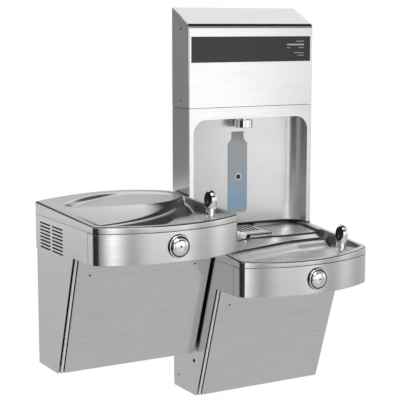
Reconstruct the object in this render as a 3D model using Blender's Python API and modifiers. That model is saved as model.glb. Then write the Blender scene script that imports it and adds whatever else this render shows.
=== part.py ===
"""Bi-level wall-hung drinking fountain with a bottle-filling tower.

Metres, +X along the wall to the right, +Y into the wall, +Z up. The wall is the plane Y = 0 and
the origin is the middle of the hanger plate's back face.
"""
import math

import bmesh
import bpy
from mathutils import Vector

# General sizes
SHEET = 0.0015            # stainless sheet of the panels
PRESSING = 0.0020         # stainless sheet of the basins
GAP = 0.0003              # clearance between pieces that touch
WALL_GAP = 0.0010         # sheet edges stay this far off the wall

# The two drinking units, measured from a unit's left side, the wall and the back of its rim
UNIT_WIDTH = 0.467
UNIT_GAP = 0.008          # between the two units
LEVEL_STEP = 0.1435       # how far the right unit hangs below the left one
SIDE_DEPTH = 0.405        # flat part of a side, from the wall to the corner bend
BOW_DEPTH = 0.483         # deepest point of the bowed front
CORNER_RADIUS = 0.025     # bend between the side and the bowed front
CORNER_STEPS = 4
BOW_STEPS = 14

# Basins
RIM_FALL = 0.043          # the left basin's rim drops this much for each metre away from the wall
RIM_STRIP = 0.012         # flat strip along the edge of a pressing
RIM_ROLL = 0.0035         # rolled edge between that strip and the skirt
BOWL_WALL = 0.026         # width of the bowl's rising wall inside the strip
SKIRT_DEPTH = 0.039       # skirt's lower edge below the back of the left basin's rim
BASIN_ROWS = 17
LEFT_ARCH = 0.016         # left shelf: rise above the rim at mid-width
SHELF_RADIUS = 0.235      # its round front lip, about a point near the wall
SHELF_CENTRE_Y = -0.010
DISH_DEPTH = 0.008        # its hollow, whose back edge is an oval
DISH_HALF = (0.275, 0.115)
DISH_SHIFT = 0.0565       # the oval's centre right of mid-width
DISH_CENTRE_Y = -0.150
DISH_FLAT = 0.6           # share of the oval inside its sloping edge
DISH_RISE = 0.100         # distance over which the hollow rises again to the lip
RIDGE_RADIUS = 0.501      # splash ridge between the left shelf's face and the bowl
RIDGE_SHIFT = -0.2525     # its centre from mid-width
RIDGE_CENTRE_Y = 0.096
RIDGE_DEPTH = 0.021       # ridges below the back of the left basin's rim
RIDGE_FALL = 0.040        # width of the fall from a ridge to the bowl's floor
RIGHT_DECK = 0.016        # right basin: height of the level deck round the tower's foot
RIGHT_RIM_FRONT = (-0.0175, -0.0125)  # height of its rim at the left and right front corners
RIGHT_LIP = 0.186         # straight lip of its shelf, from the wall
RIGHT_HOLLOW = 0.0095     # hollow of that shelf
HOLLOW_START = 0.020      # strip round the hollow, and the far side of its sloping edge
HOLLOW_END = 0.060
GROOVE_LEFT = 0.2995      # foot of the shelf's face, from the wall at the left and right sides
GROOVE_RIGHT = 0.174
FACE_LEAST = 0.010        # least depth of that face
RIDGE_AHEAD = 0.030       # ridge in front of the face's foot
FLOOR_DEPTH = 0.040       # bowl floor below the back of the left basin's rim
BUBBLER_FLOOR = 0.023     # bowl floor at the bubbler
BUBBLER_LEVEL = 0.030     # the floor is level this far round the bubbler

# Apron, panels and pans of a unit
APRON_BOTTOM = 0.1297     # below the back of the rim
APRON_START = 0.381       # distance of the apron's side seam from the wall
CABINET_BOTTOM = 0.503
PANEL_TOP_DEPTH = 0.2765  # inclined front panel, from the wall at its top and bottom edges
PANEL_FOOT_DEPTH = 0.153
PANEL_SLOT = 0.008        # open slot between the left side and the front panel
PANEL_BEAD = 0.004        # radius of the rolled bead along the front panel's left edge
BEAD_STEPS = 6
PANEL_GROOVE = 0.003      # groove between the bead and the flat of the panel
PANEL_RETURN = 0.012      # folded edges of the front and back panels
PAN_LIP = 0.020
BACK_NOTCH_TOP = 0.144    # below this the side panels stand off the wall
BACK_NOTCH = 0.008

# Louvres of the left unit
LOUVRE_ROWS = 8
LOUVRE_COLUMNS = 2
LOUVRE_LENGTH = 0.078
LOUVRE_HEIGHT = 0.0048
LOUVRE_PITCH = 0.0105
LOUVRE_COLUMN_PITCH = 0.092
LOUVRE_START = 0.036      # nearest end to the wall
LOUVRE_TOP = 0.057

# Push button assembly, along its axis from the apron's face
BUTTON_DROP = 0.083       # axis below the back of the rim
BEZEL_RADIUS = 0.0345
BEZEL_PROUD = 0.007
BEZEL_ROUND = 0.0032      # radius of its rounded crest
BARREL_RADIUS = 0.0300
BARREL_DEPTH = 0.018
BARREL_FLOOR = 0.003
BUTTON_RADIUS = 0.0265
BUTTON_CLEAR = 0.0005
BUTTON_RIM = 0.006        # height of the button's straight edge
BUTTON_DOME = 0.007       # height of its domed face
BUTTON_BACK = 0.002       # the button's back stands this far in front of the apron's face
STEM_RADIUS = 0.0045
STEM_REACH = 0.038        # stem's end behind the apron's face
SPRING_RADIUS = 0.0100
SPRING_WIRE = 0.00075
SPRING_TURNS = 4
SPRING_POINTS = 10        # to each turn
VALVE_RADIUS = 0.020
VALVE_LENGTH = 0.034
VALVE_BORE = 0.026        # depth of the stem's bore

# Bubbler, drain and water lines of a unit
BUBBLER_SIDE = 0.077      # axis from the unit's right side
BUBBLER_FRONT = 0.093     # and from the deepest point of the bowed front
BUBBLER_RADIUS = 0.0130
BUBBLER_FOOT = 0.050      # foot of the base below the bowl floor there
BUBBLER_BASE_HEIGHT = 0.026
FLANGE_RADIUS = 0.0165
FLANGE_HEIGHT = 0.0035
FLANGE_CLEAR = 0.0015     # room for the washer under the flange
HOOD_RADIUS = 0.0195
HOOD_NECK = 0.0160        # radius of the hood's foot
HOOD_HEIGHT = 0.053
HOOD_SWELL = 0.022        # height where the hood is widest
HOOD_MOUTH = (0.0150, 0.0150, 0.0230)
MOUTH_SHIFT = 0.018       # centre of the mouth from the axis, towards the bowl
MOUTH_HEIGHT = 0.025      # and above the hood's foot
BUBBLER_AIM = math.radians(200)  # direction of the stream, from +X
DRAIN_SHIFT = 0.0285      # axis right of mid-width
DRAIN_FRONT = 0.073       # and from the deepest point of the bowed front
DRAIN_RADIUS = 0.0190
STRAINER_HOLE = 0.0026
STRAINER_RING = 0.0105
STRAINER_HOLES = 8
DRAIN_TAIL_RADIUS = 0.0150
DRAIN_TAIL_FOOT = 0.074   # below the back of the rim
DRAIN_RUN = 0.106         # depth of the level run under the bowl
DRAIN_BEND = 0.022
DRAIN_DROP_AHEAD = 0.037  # the pipe's drop in front of the front panel's foot
DRAIN_OUTLET = 0.290
LINE_RADIUS = 0.0048
LINE_LEAD = 0.050         # where the water line turns up, left of the bubbler

# Drip grate of the right unit
GRATE_LEFT = 0.170        # its left edge from the unit's left side
GRATE_WIDTH = 0.098
GRATE_BACK = 0.092        # distance of its back edge from the wall
GRATE_HEIGHT = 0.0130
GRATE_SEAT = 0.0010       # height of its level seat
SEAT_START = 0.020        # level strip round the seat, and the far side of its sloping edge
SEAT_END = 0.045
GRATE_SLOTS = 6
GRATE_SLOT_WIDTH = 0.0065
GRATE_MARGIN = 0.012

# Bottle-filling tower, above the back of the right unit's rim
TOWER_DEPTH = 0.109
TOWER_BOTTOM = 0.0208
TOWER_SEAM = 0.414
TOWER_FRONT_TOP = 0.674
TOWER_WALL_TOP = 0.7285
TOWER_BEND = 0.018        # bend between the front and the sloping top
TOWER_BEND_STEPS = 6
DISPLAY_BOTTOM = 0.5565
DISPLAY_TOP = 0.6375
DISPLAY_MARGIN = 0.0086
DISPLAY_THICK = 0.006
ALCOVE_MARGIN = 0.0165
ALCOVE_TOP = 0.3765
ALCOVE_CORNER = 0.045
ALCOVE_CORNER_STEPS = 6
LINER_BACK = 0.020        # back of the alcove, from the wall
LINER_CURVE = 0.082       # plan radius of its back corners
LINER_STEPS = 8
NOZZLE_Y = -0.057
NOZZLE_RADIUS = 0.0300
NOZZLE_HEIGHT = 0.026
NOZZLE_EDGE = 0.0020      # rounding of its upper edge
NOZZLE_CONE = 0.0035      # coning of its lower edge
NOZZLE_DROP = 0.008       # its upper edge below the alcove's ceiling
NOZZLE_SHANK = 0.012
NOZZLE_SHANK_TOP = 0.014  # above the alcove's ceiling
WINDOW_WIDTH = 0.0725
WINDOW_BOTTOM = 0.0565
WINDOW_TOP = 0.326
WINDOW_NECK = 0.044       # width of the bottle outline's neck
WINDOW_SHOULDER = 0.284   # height where the outline starts to narrow
WINDOW_NECK_FOOT = 0.305  # height where the neck starts
WINDOW_CORNER = 0.008     # cut of the lower corners
SHOULDER_STEPS = 8
WINDOW_THICK = 0.0025
SENSOR_HEIGHT = 0.1765
SENSOR_RADIUS = 0.0125
SENSOR_LENS = 0.0085
SENSOR_PROUD = 0.0030
SOLENOID_HEIGHT = 0.470   # its foot
SOLENOID_SIZE = (0.046, 0.040, 0.058)

# Hanger plate
HANGER_WIDTH = 0.760
HANGER_HEIGHT = 0.090
HANGER_THICK = 0.003
HANGER_DROP = 0.0075      # its upper edge below the right cabinet's back notch
HANGER_SLOT = (0.060, 0.012)
HANGER_SLOTS_X = (-0.30, -0.12, 0.12, 0.30)

# Cooling set inside the left unit
COMPRESSOR_SIDE = 0.092   # axis from the unit's right side
COMPRESSOR_Y = -0.083
COMPRESSOR_RADIUS = 0.055
COMPRESSOR_HEIGHT = 0.150
CONDENSER_SIZE = (0.030, 0.112, 0.125)
CONDENSER_X = 0.026
CONDENSER_FINS = 9
FIN_GAP = 0.006
FIN_DEPTH = 0.009
FAN_RADIUS = 0.050
FAN_HUB = 0.013
FAN_ROOT = 0.008          # inner end of the vanes, inside the hub
FAN_WIDTH = 0.014
FAN_BLADES = 4
FAN_PITCH = math.radians(28)
FAN_SPACE = 0.010         # between the condenser and the fan
MOTOR_RADIUS = 0.024
MOTOR_LENGTH = 0.048
MOTOR_SHAFT = 0.003
SHAFT_REACH = 0.007       # shaft's end inside the hub
BORE_DEPTH = 0.0105       # bore of the hub
PEDESTAL = 0.016

# Finishes: colour, roughness, metallic
STEEL = ((0.62, 0.62, 0.61), 0.32, 1.0)
GALVANISED = ((0.55, 0.57, 0.58), 0.45, 1.0)
CHROME = ((0.85, 0.86, 0.87), 0.06, 1.0)
BRASS = ((0.60, 0.45, 0.20), 0.30, 1.0)
BLACK = ((0.020, 0.021, 0.023), 0.25, 0.0)
GREY_PLASTIC = ((0.30, 0.31, 0.32), 0.45, 0.0)
WHITE = ((0.80, 0.80, 0.80), 0.35, 0.0)
BLUE = ((0.18, 0.32, 0.48), 0.20, 0.0)
COPPER = ((0.66, 0.34, 0.20), 0.30, 1.0)
WHITE_PIPE = ((0.72, 0.72, 0.70), 0.40, 0.0)

# Plan geometry that follows from the sizes above
MID = UNIT_WIDTH / 2
BOW_RISE = BOW_DEPTH - SIDE_DEPTH
CORNER_SPAN = MID - CORNER_RADIUS
BOW_RADIUS = (CORNER_SPAN ** 2 + BOW_RISE ** 2 - CORNER_RADIUS ** 2) / (2 * (BOW_RISE - CORNER_RADIUS))
BOW_CENTRE_Y = BOW_RADIUS - BOW_DEPTH
BOW_ANGLE = math.atan2(CORNER_SPAN, BOW_CENTRE_Y + SIDE_DEPTH)
RIM_HEIGHT = LEVEL_STEP + BACK_NOTCH_TOP + HANGER_DROP + HANGER_HEIGHT / 2
BUTTON_PLACE = Vector((MID, -BOW_DEPTH, -BUTTON_DROP))
BUBBLER_X = UNIT_WIDTH - BUBBLER_SIDE
BUBBLER_Y = -BOW_DEPTH + BUBBLER_FRONT
DRAIN_X = MID + DRAIN_SHIFT
DRAIN_Y = -BOW_DEPTH + DRAIN_FRONT
DRAIN_DROP_Y = -PANEL_FOOT_DEPTH - DRAIN_DROP_AHEAD
COMPRESSOR_X = UNIT_WIDTH - COMPRESSOR_SIDE
UP_TO_FRONT = (math.pi / 2, 0, 0)   # turns a piece's +Z to face away from the wall


def clear_scene():
    for obj in list(bpy.data.objects):
        bpy.data.objects.remove(obj, do_unlink=True)


def new_collection(name):
    collection = bpy.data.collections.new(name)
    bpy.context.scene.collection.children.link(collection)
    return collection


clear_scene()
PARTS = new_collection("drinking_fountain")
CUTTERS = new_collection("fountain_cutters")


def empty(name, location):
    obj = bpy.data.objects.new(name, None)
    obj.location = location
    PARTS.objects.link(obj)
    return obj


def finish(obj, look):
    colour, roughness, metallic = look
    material = bpy.data.materials.new(obj.name)
    material.use_nodes = True
    shader = material.node_tree.nodes["Principled BSDF"]
    shader.inputs["Base Color"].default_value = (*colour, 1)
    shader.inputs["Roughness"].default_value = roughness
    shader.inputs["Metallic"].default_value = metallic
    obj.data.materials.append(material)


def place(name, data, look, parent, location=(0, 0, 0), rotation=(0, 0, 0)):
    """One named sub-part; a sub-part with no look is a cutter."""
    obj = bpy.data.objects.new(name, data)
    obj.parent = parent
    obj.location = location
    obj.rotation_euler = rotation
    if look is None:
        CUTTERS.objects.link(obj)
        obj.hide_render = True
        obj.display_type = "WIRE"
    else:
        PARTS.objects.link(obj)
        finish(obj, look)
    return obj


def mesh_from(bm, name, smooth=None):
    mesh = bpy.data.meshes.new(name)
    bm.to_mesh(mesh)
    bm.free()
    if smooth:
        mesh.shade_smooth()
        mesh.set_sharp_from_angle(angle=math.radians(smooth))
    return mesh


def add_box(bm, low, high):
    size = Vector(high) - Vector(low)
    made = bmesh.ops.create_cube(bm, size=1)["verts"]
    bmesh.ops.scale(bm, vec=size, verts=made)
    bmesh.ops.translate(bm, vec=Vector(low) + size / 2, verts=made)
    return made


def boxes(name, corners):
    """Mesh of boxes given by their lowest and highest corners."""
    bm = bmesh.new()
    for low, high in corners:
        add_box(bm, low, high)
    return mesh_from(bm, name)


def round_bar(name, radius, length, steps=24):
    """Cylinder along Z from 0 to length."""
    bm = bmesh.new()
    made = bmesh.ops.create_cone(bm, cap_ends=True, segments=steps, radius1=radius, radius2=radius,
                                 depth=length)["verts"]
    bmesh.ops.translate(bm, vec=(0, 0, length / 2), verts=made)
    return mesh_from(bm, name, 40)


def ellipsoid(name, half, steps=12, rings=8):
    bm = bmesh.new()
    made = bmesh.ops.create_uvsphere(bm, u_segments=steps, v_segments=rings, radius=1)["verts"]
    bmesh.ops.scale(bm, vec=half, verts=made)
    return mesh_from(bm, name, 60)


def add_quads(bm, grid):
    """Quads between rows that hold the same number of vertices."""
    made = []
    for upper, lower in zip(grid, grid[1:]):
        for a, b, c, d in zip(upper, upper[1:], lower[1:], lower):
            made.append(bm.faces.new((a, b, c, d)))
    return made


def loft(rows):
    """Open surface through rows of points."""
    bm = bmesh.new()
    add_quads(bm, [[bm.verts.new(point) for point in row] for row in rows])
    return bm


def new_verts(made):
    """Vertices among the geometry that an operator made."""
    return [item for item in made["geom"] if isinstance(item, bmesh.types.BMVert)]


def extrude(bm, outline, way):
    """Closed prism from a plane outline."""
    made = bmesh.ops.extrude_face_region(bm, geom=[bm.faces.new([bm.verts.new(point) for point in outline])])
    bmesh.ops.translate(bm, vec=way, verts=new_verts(made))
    bmesh.ops.recalc_face_normals(bm, faces=bm.faces)


def face_outside(bm, way):
    """Turn an open sheet's faces so that most of its area looks that way."""
    bm.normal_update()
    if sum(face.normal.dot(Vector(way)) * face.calc_area() for face in bm.faces) < 0:
        bmesh.ops.reverse_faces(bm, faces=bm.faces)


def thicken(obj, thickness, inward=True):
    shell = obj.modifiers.new("sheet", "SOLIDIFY")
    shell.thickness = thickness
    shell.offset = -1 if inward else 1
    shell.use_even_offset = True
    return obj


def cut(target, cutter, operation="DIFFERENCE"):
    change = target.modifiers.new(operation.lower(), "BOOLEAN")
    change.operation = operation
    change.object = cutter
    change.solver = "EXACT"


def turned(name, profile, look, parent, location, rotation=(0, 0, 0), steps=24, ring=False):
    """Revolve a profile of (radius, height) points that runs down its outer side."""
    mesh = bpy.data.meshes.new(name)
    count = len(profile)
    edges = [(i, i + 1) for i in range(count - 1)]
    if ring:
        edges.append((count - 1, 0))
    mesh.from_pydata([(radius, 0, height) for radius, height in profile], edges, [])
    obj = place(name, mesh, look, parent, location, rotation)
    screw = obj.modifiers.new("turn", "SCREW")
    screw.steps = steps
    screw.render_steps = steps
    screw.use_merge_vertices = True
    screw.merge_threshold = 0.00001
    screw.use_smooth_shade = False
    return obj


def tube(name, points, radius, look, parent, location=(0, 0, 0), rotation=(0, 0, 0), resolution=2):
    curve = bpy.data.curves.new(name, "CURVE")
    curve.dimensions = "3D"
    curve.bevel_depth = radius
    curve.bevel_resolution = resolution
    curve.use_fill_caps = True
    spline = curve.splines.new("POLY")
    spline.points.add(len(points) - 1)
    for target, point in zip(spline.points, points):
        target.co = (*point, 1)
    return place(name, curve, look, parent, location, rotation)


def arc(centre, radius, start, end, steps):
    """Points of a plane arc from one angle to another."""
    turns = [start + (end - start) * i / steps for i in range(steps + 1)]
    return [(centre[0] + radius * math.cos(t), centre[1] + radius * math.sin(t)) for t in turns]


def rounded_route(points, bend, steps=3):
    """Route through corner points, each corner replaced by a smooth bend."""
    route = [Vector(points[0])]
    for before, corner, after in zip(points, points[1:], points[2:]):
        corner = Vector(corner)
        start = corner + (Vector(before) - corner).normalized() * bend
        end = corner + (Vector(after) - corner).normalized() * bend
        for i in range(steps + 1):
            t = i / steps
            route.append(start * (1 - t) ** 2 + corner * 2 * t * (1 - t) + end * t ** 2)
    route.append(Vector(points[-1]))
    return route


def smoothstep(low, high, value):
    t = min(max((value - low) / (high - low), 0), 1)
    return t * t * (3 - 2 * t)


def plan_outline(inset, start):
    """Left side, corner bend, bowed front, corner bend and right side, as plan points."""
    corner = CORNER_RADIUS - inset
    down = -math.pi / 2
    left = arc((CORNER_RADIUS, -SIDE_DEPTH), corner, -math.pi, down - BOW_ANGLE, CORNER_STEPS)
    bow = arc((MID, BOW_CENTRE_Y), BOW_RADIUS - inset, down - BOW_ANGLE, down + BOW_ANGLE, BOW_STEPS)
    right = arc((UNIT_WIDTH - CORNER_RADIUS, -SIDE_DEPTH), corner, down + BOW_ANGLE, 0, CORNER_STEPS)
    return [(inset, -start), *left, *bow[1:], *right[1:], (UNIT_WIDTH - inset, -start)]


def edge_distance(x, y):
    """Distance of a plan point inside the unit's sides and bowed front."""
    front = BOW_RADIUS - math.hypot(x - MID, y - BOW_CENTRE_Y)
    return min(x, UNIT_WIDTH - x, front)


def bowl_floor(x, y):
    """Floor that falls from the bubbler's corner to the drain."""
    reach = math.hypot(BUBBLER_X - DRAIN_X, BUBBLER_Y - DRAIN_Y)
    away = math.hypot(x - BUBBLER_X, y - BUBBLER_Y)
    return -BUBBLER_FLOOR - (FLOOR_DEPTH - BUBBLER_FLOOR) * smoothstep(BUBBLER_LEVEL, reach, away)


def past_ridge(ridge, distance, x, y):
    """Height at a distance past a splash ridge, on the way down to the bowl's floor."""
    fall = smoothstep(0, RIDGE_FALL, distance)
    return ridge * (1 - fall) + bowl_floor(x, y) * fall


def into_rim(x, y, rim, inner):
    """Raise an inner height to the rim along the sides and the front."""
    share = smoothstep(RIM_STRIP, RIM_STRIP + BOWL_WALL, edge_distance(x, y))
    return rim * (1 - share) + inner * share


def left_height(x, y):
    """Arched shelf with an oval hollow and a round lip, whose face falls to a splash ridge and a bowl."""
    arch = LEFT_ARCH * (1 - ((x - MID) / MID) ** 2)
    shelf = RIM_FALL * y + arch
    rim = RIM_FALL * y + arch * max(1 + y / SIDE_DEPTH, 0)
    beyond = math.hypot(x - MID, y - SHELF_CENTRE_Y) - SHELF_RADIUS
    if beyond <= 0:
        across = (x - MID - DISH_SHIFT) / DISH_HALF[0]
        along = max(y - DISH_CENTRE_Y, 0) / DISH_HALF[1]
        hollow = DISH_DEPTH * smoothstep(1, DISH_FLAT, math.hypot(across, along))
        return into_rim(x, y, rim, shelf - hollow * min(-beyond / DISH_RISE, 1))
    distance = math.hypot(x - MID - RIDGE_SHIFT, y - RIDGE_CENTRE_Y) - RIDGE_RADIUS
    down = min(beyond / max(beyond - distance, SHEET), 1)
    face = shelf * (1 - down) - RIDGE_DEPTH * down
    return into_rim(x, y, rim, past_ridge(face, distance, x, y))


def right_rim(x, y):
    """Level deck beside the tower, then a straight fall to the front corners."""
    share = max(-y - TOWER_DEPTH, 0) / (SIDE_DEPTH - TOWER_DEPTH)
    left, right = RIGHT_RIM_FRONT
    return RIGHT_DECK * (1 - share) + (left + (right - left) * x / UNIT_WIDTH) * share


def right_height(x, y):
    """Hollow shelf with a level seat for the grate and a straight lip, above a bowl across the front."""
    rim = right_rim(x, y)
    off_seat = max(GRATE_LEFT - x, x - GRATE_LEFT - GRATE_WIDTH, GRATE_BACK + y, 0)
    seat = 1 - smoothstep(SEAT_START, SEAT_END, off_seat)
    hollow = RIGHT_HOLLOW * smoothstep(HOLLOW_START, HOLLOW_END, min(x, UNIT_WIDTH - x, -y))
    inner = GRATE_SEAT * seat + (rim - hollow) * (1 - seat)
    if y < -RIGHT_LIP:
        foot = GROOVE_LEFT + (GROOVE_RIGHT - GROOVE_LEFT) * x / UNIT_WIDTH
        foot = max(foot, RIGHT_LIP + FACE_LEAST)
        down = min((-y - RIGHT_LIP) / (foot - RIGHT_LIP), 1)
        face = inner * (1 - down) - RIDGE_DEPTH * down
        inner = past_ridge(face, -y - foot - RIDGE_AHEAD, x, y)
    return into_rim(x, y, rim, inner)


def basin_grid(height, inset, drop):
    """Rows of points over a basin from the wall to the front, drawn in by inset and lowered by drop."""
    front = plan_outline(inset, SIDE_DEPTH)[1:-1]
    back = -WALL_GAP - inset
    rows = []
    for step in range(BASIN_ROWS + 1):
        share = step / BASIN_ROWS
        row = [(x, back + (y - back) * share) for x, y in front]
        rows.append([Vector((x, y, height(x, y) - drop)) for x, y in row])
    return rows


def around(rows):
    """Edge of a grid in order: left side, wall side, right side and front."""
    left = [row[0] for row in reversed(rows)]
    right = [row[-1] for row in rows]
    return left[:-1] + rows[0][:-1] + right[:-1] + rows[-1][:0:-1]


def tray_surface(bm, height, inset):
    """Top of a basin with its rolled edge and skirt, drawn in by inset; returns the skirt's lower ring."""
    points = basin_grid(height, inset + RIM_ROLL, inset)
    top = [[bm.verts.new(point) for point in row] for row in points]
    add_quads(bm, top)
    shoulder = around(basin_grid(height, inset, inset + RIM_ROLL))
    foot = [(point.x, point.y, -SKIRT_DEPTH) for point in shoulder]
    rings = [around(top)]
    for line in (shoulder, foot):
        rings.append([bm.verts.new(point) for point in line])
    add_quads(bm, [[*ring, ring[0]] for ring in rings])
    return [*rings[-1], rings[-1][0]]


def basin(side, height, unit):
    """Pressed basin with a turned-down skirt and holes for the drain and the bubbler."""
    bm = bmesh.new()
    add_quads(bm, [tray_surface(bm, height, 0), tray_surface(bm, height, PRESSING)])
    bmesh.ops.recalc_face_normals(bm, faces=bm.faces)
    obj = place(f"{side}_basin", mesh_from(bm, f"{side}_basin", 30), STEEL, unit)
    depth = FLOOR_DEPTH * 3
    for hole, x, y, radius in (("drain", DRAIN_X, DRAIN_Y, DRAIN_RADIUS),
                               ("bubbler", BUBBLER_X, BUBBLER_Y, BUBBLER_RADIUS)):
        name = f"{side}_{hole}_hole"
        cutter = place(name, round_bar(name, radius + GAP, depth), None, unit, (x, y, -depth / 2))
        cut(obj, cutter)


def apron(side, unit):
    """Bowed sheet under the basin's skirt, pierced for the push button."""
    line = plan_outline(0, APRON_START)
    top = -SKIRT_DEPTH - GAP
    bm = loft([[(x, y, z) for x, y in line] for z in (top, -APRON_BOTTOM)])
    bmesh.ops.recalc_face_normals(bm, faces=bm.faces)
    obj = place(f"{side}_apron", mesh_from(bm, f"{side}_apron", 30), STEEL, unit)
    thicken(obj, SHEET)
    name = f"{side}_button_hole"
    reach = BARREL_DEPTH * 2
    cutter = place(name, round_bar(name, BARREL_RADIUS + GAP, reach), None, unit,
                   BUTTON_PLACE + Vector((0, reach / 2, 0)), UP_TO_FRONT)
    cut(obj, cutter)


def folded_sheet(name, outline, edges, fold, outside, look, unit):
    """Sheet with a plane outline, some of whose edges, counted from its first point, are folded."""
    bm = bmesh.new()
    corners = [bm.verts.new(point) for point in outline]
    bm.faces.new(corners)
    chain = [bm.edges.get((corners[i], corners[(i + 1) % len(corners)])) for i in edges]
    made = bmesh.ops.extrude_edge_only(bm, edges=chain)
    bmesh.ops.translate(bm, vec=fold, verts=new_verts(made))
    bmesh.ops.recalc_face_normals(bm, faces=bm.faces)
    face_outside(bm, outside)
    return thicken(place(name, mesh_from(bm, name), look, unit), SHEET)


def side_panel(name, x, outside, unit):
    """Flat cabinet side, cut to the slope of the front panel and clear of the hanger."""
    top = -SKIRT_DEPTH - GAP
    outline = [(x, -WALL_GAP, top), (x, -APRON_START + GAP, top), (x, -APRON_START + GAP, -APRON_BOTTOM),
               (x, -PANEL_TOP_DEPTH, -APRON_BOTTOM), (x, -PANEL_FOOT_DEPTH, -CABINET_BOTTOM),
               (x, -BACK_NOTCH, -CABINET_BOTTOM), (x, -BACK_NOTCH, -BACK_NOTCH_TOP),
               (x, -WALL_GAP, -BACK_NOTCH_TOP)]
    return folded_sheet(name, outline, [], (0, 0, 0), (outside, 0, 0), STEEL, unit)


def louvres(panel, unit):
    """Rows of long slots through the side of the cabinet."""
    slots = []
    for column in range(LOUVRE_COLUMNS):
        y = -LOUVRE_START - column * LOUVRE_COLUMN_PITCH
        for row in range(LOUVRE_ROWS):
            z = -LOUVRE_TOP - row * LOUVRE_PITCH
            slots.append(((-SHEET, y - LOUVRE_LENGTH, z - LOUVRE_HEIGHT), (2 * SHEET, y, z)))
    cut(panel, place("louvre_slots", boxes("louvre_slots", slots), None, unit))


def front_panel(side, unit):
    """Inclined front with a rolled bead along its left edge, beside an open slot."""
    bead_x = SHEET + PANEL_SLOT + PANEL_BEAD
    flat = bead_x + PANEL_BEAD + PANEL_GROOVE
    right = UNIT_WIDTH - SHEET - GAP
    bead = arc((bead_x, PANEL_BEAD), PANEL_BEAD, math.pi, 2 * math.pi, BEAD_STEPS)
    section = [(bead_x - PANEL_BEAD, PANEL_RETURN), *bead, (flat, PANEL_BEAD), (flat, 0), (right, 0),
               (right, PANEL_RETURN)]
    ends = ((PANEL_TOP_DEPTH, -APRON_BOTTOM - GAP), (PANEL_FOOT_DEPTH, -CABINET_BOTTOM))
    bm = loft([[(x, back - depth, z) for x, back in section] for depth, z in ends])
    face_outside(bm, (0, -1, 0))
    thicken(place(f"{side}_front_panel", mesh_from(bm, f"{side}_front_panel", 40), STEEL, unit), SHEET)


def cabinet(side, unit):
    """Back and bottom panels and the pan under the apron."""
    inner = SHEET + GAP
    right = UNIT_WIDTH - inner
    back = -HANGER_THICK - GAP
    low = -CABINET_BOTTOM + PAN_LIP + GAP
    high = -SKIRT_DEPTH - GAP
    outline = [(inner, back, low), (right, back, low), (right, back, high), (inner, back, high)]
    right_edge, left_edge = 1, 3
    folded_sheet(f"{side}_back_panel", outline, (right_edge, left_edge), (0, -PANEL_RETURN, 0), (0, 1, 0),
                 GALVANISED, unit)

    bm = bmesh.new()
    front = -PANEL_FOOT_DEPTH + PANEL_RETURN + GAP
    add_box(bm, (inner, front, -CABINET_BOTTOM), (right, -BACK_NOTCH, -CABINET_BOTTOM + PAN_LIP))
    lid = [face for face in bm.faces if face.normal.z > 0.5]
    bmesh.ops.delete(bm, geom=lid, context="FACES_ONLY")
    thicken(place(f"{side}_bottom_pan", mesh_from(bm, f"{side}_bottom_pan"), GALVANISED, unit), SHEET)

    floor = -APRON_BOTTOM + SHEET
    line = plan_outline(inner, PANEL_TOP_DEPTH)
    bm = bmesh.new()
    bm.faces.new([bm.verts.new((x, y, floor)) for x, y in line])
    bmesh.ops.recalc_face_normals(bm, faces=bm.faces)
    thicken(place(f"{side}_under_pan", mesh_from(bm, f"{side}_under_pan"), STEEL, unit), SHEET)


def push_button(side, unit):
    """Bezel with a cupped barrel, domed button on a stem, return spring and metering valve."""
    bore = BUTTON_RADIUS + BUTTON_CLEAR
    stem_bore = STEM_RADIUS + BUTTON_CLEAR
    cup = -BARREL_DEPTH + BARREL_FLOOR
    crest = arc((bore + BEZEL_ROUND, BEZEL_PROUD - BEZEL_ROUND), BEZEL_ROUND, math.pi, 0, 4)
    bezel = [*crest, (BEZEL_RADIUS, GAP), (BARREL_RADIUS, GAP), (BARREL_RADIUS, -BARREL_DEPTH),
             (stem_bore, -BARREL_DEPTH), (stem_bore, cup), (bore, cup)]
    turned(f"{side}_button_bezel", bezel, CHROME, unit, BUTTON_PLACE, UP_TO_FRONT, ring=True)

    crown = BUTTON_BACK + BUTTON_RIM
    dome = [(BUTTON_RADIUS * math.sin(t), crown + BUTTON_DOME * math.cos(t))
            for t in (math.pi / 2 * i / 6 for i in range(7))]
    dome[0] = (0, crown + BUTTON_DOME)
    stem = [(BUTTON_RADIUS, BUTTON_BACK), (STEM_RADIUS, BUTTON_BACK), (STEM_RADIUS, -STEM_REACH),
            (0, -STEM_REACH)]
    turned(f"{side}_button", dome + stem, CHROME, unit, BUTTON_PLACE, UP_TO_FRONT)

    low = cup + GAP + SPRING_WIRE
    high = BUTTON_BACK - GAP - SPRING_WIRE
    count = SPRING_TURNS * SPRING_POINTS
    coil = []
    for i in range(count + 1):
        turn = 2 * math.pi * i / SPRING_POINTS
        coil.append(Vector((SPRING_RADIUS * math.cos(turn), SPRING_RADIUS * math.sin(turn),
                            low + (high - low) * i / count)))
    nearest = min((coil[i] - coil[j]).length for i in range(count + 1)
                  for j in range(i + SPRING_POINTS // 2, count + 1))
    print(f"{side} spring: least gap to itself {(nearest - 2 * SPRING_WIRE) * 1000:.2f} mm")
    tube(f"{side}_button_spring", coil, SPRING_WIRE, GALVANISED, unit, BUTTON_PLACE, UP_TO_FRONT, 1)

    face = -BARREL_DEPTH - GAP
    valve = [(stem_bore, face), (VALVE_RADIUS, face), (VALVE_RADIUS, face - VALVE_LENGTH),
             (0, face - VALVE_LENGTH), (0, face - VALVE_BORE), (stem_bore, face - VALVE_BORE)]
    turned(f"{side}_valve", valve + valve[:1], BRASS, unit, BUTTON_PLACE, UP_TO_FRONT)


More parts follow.
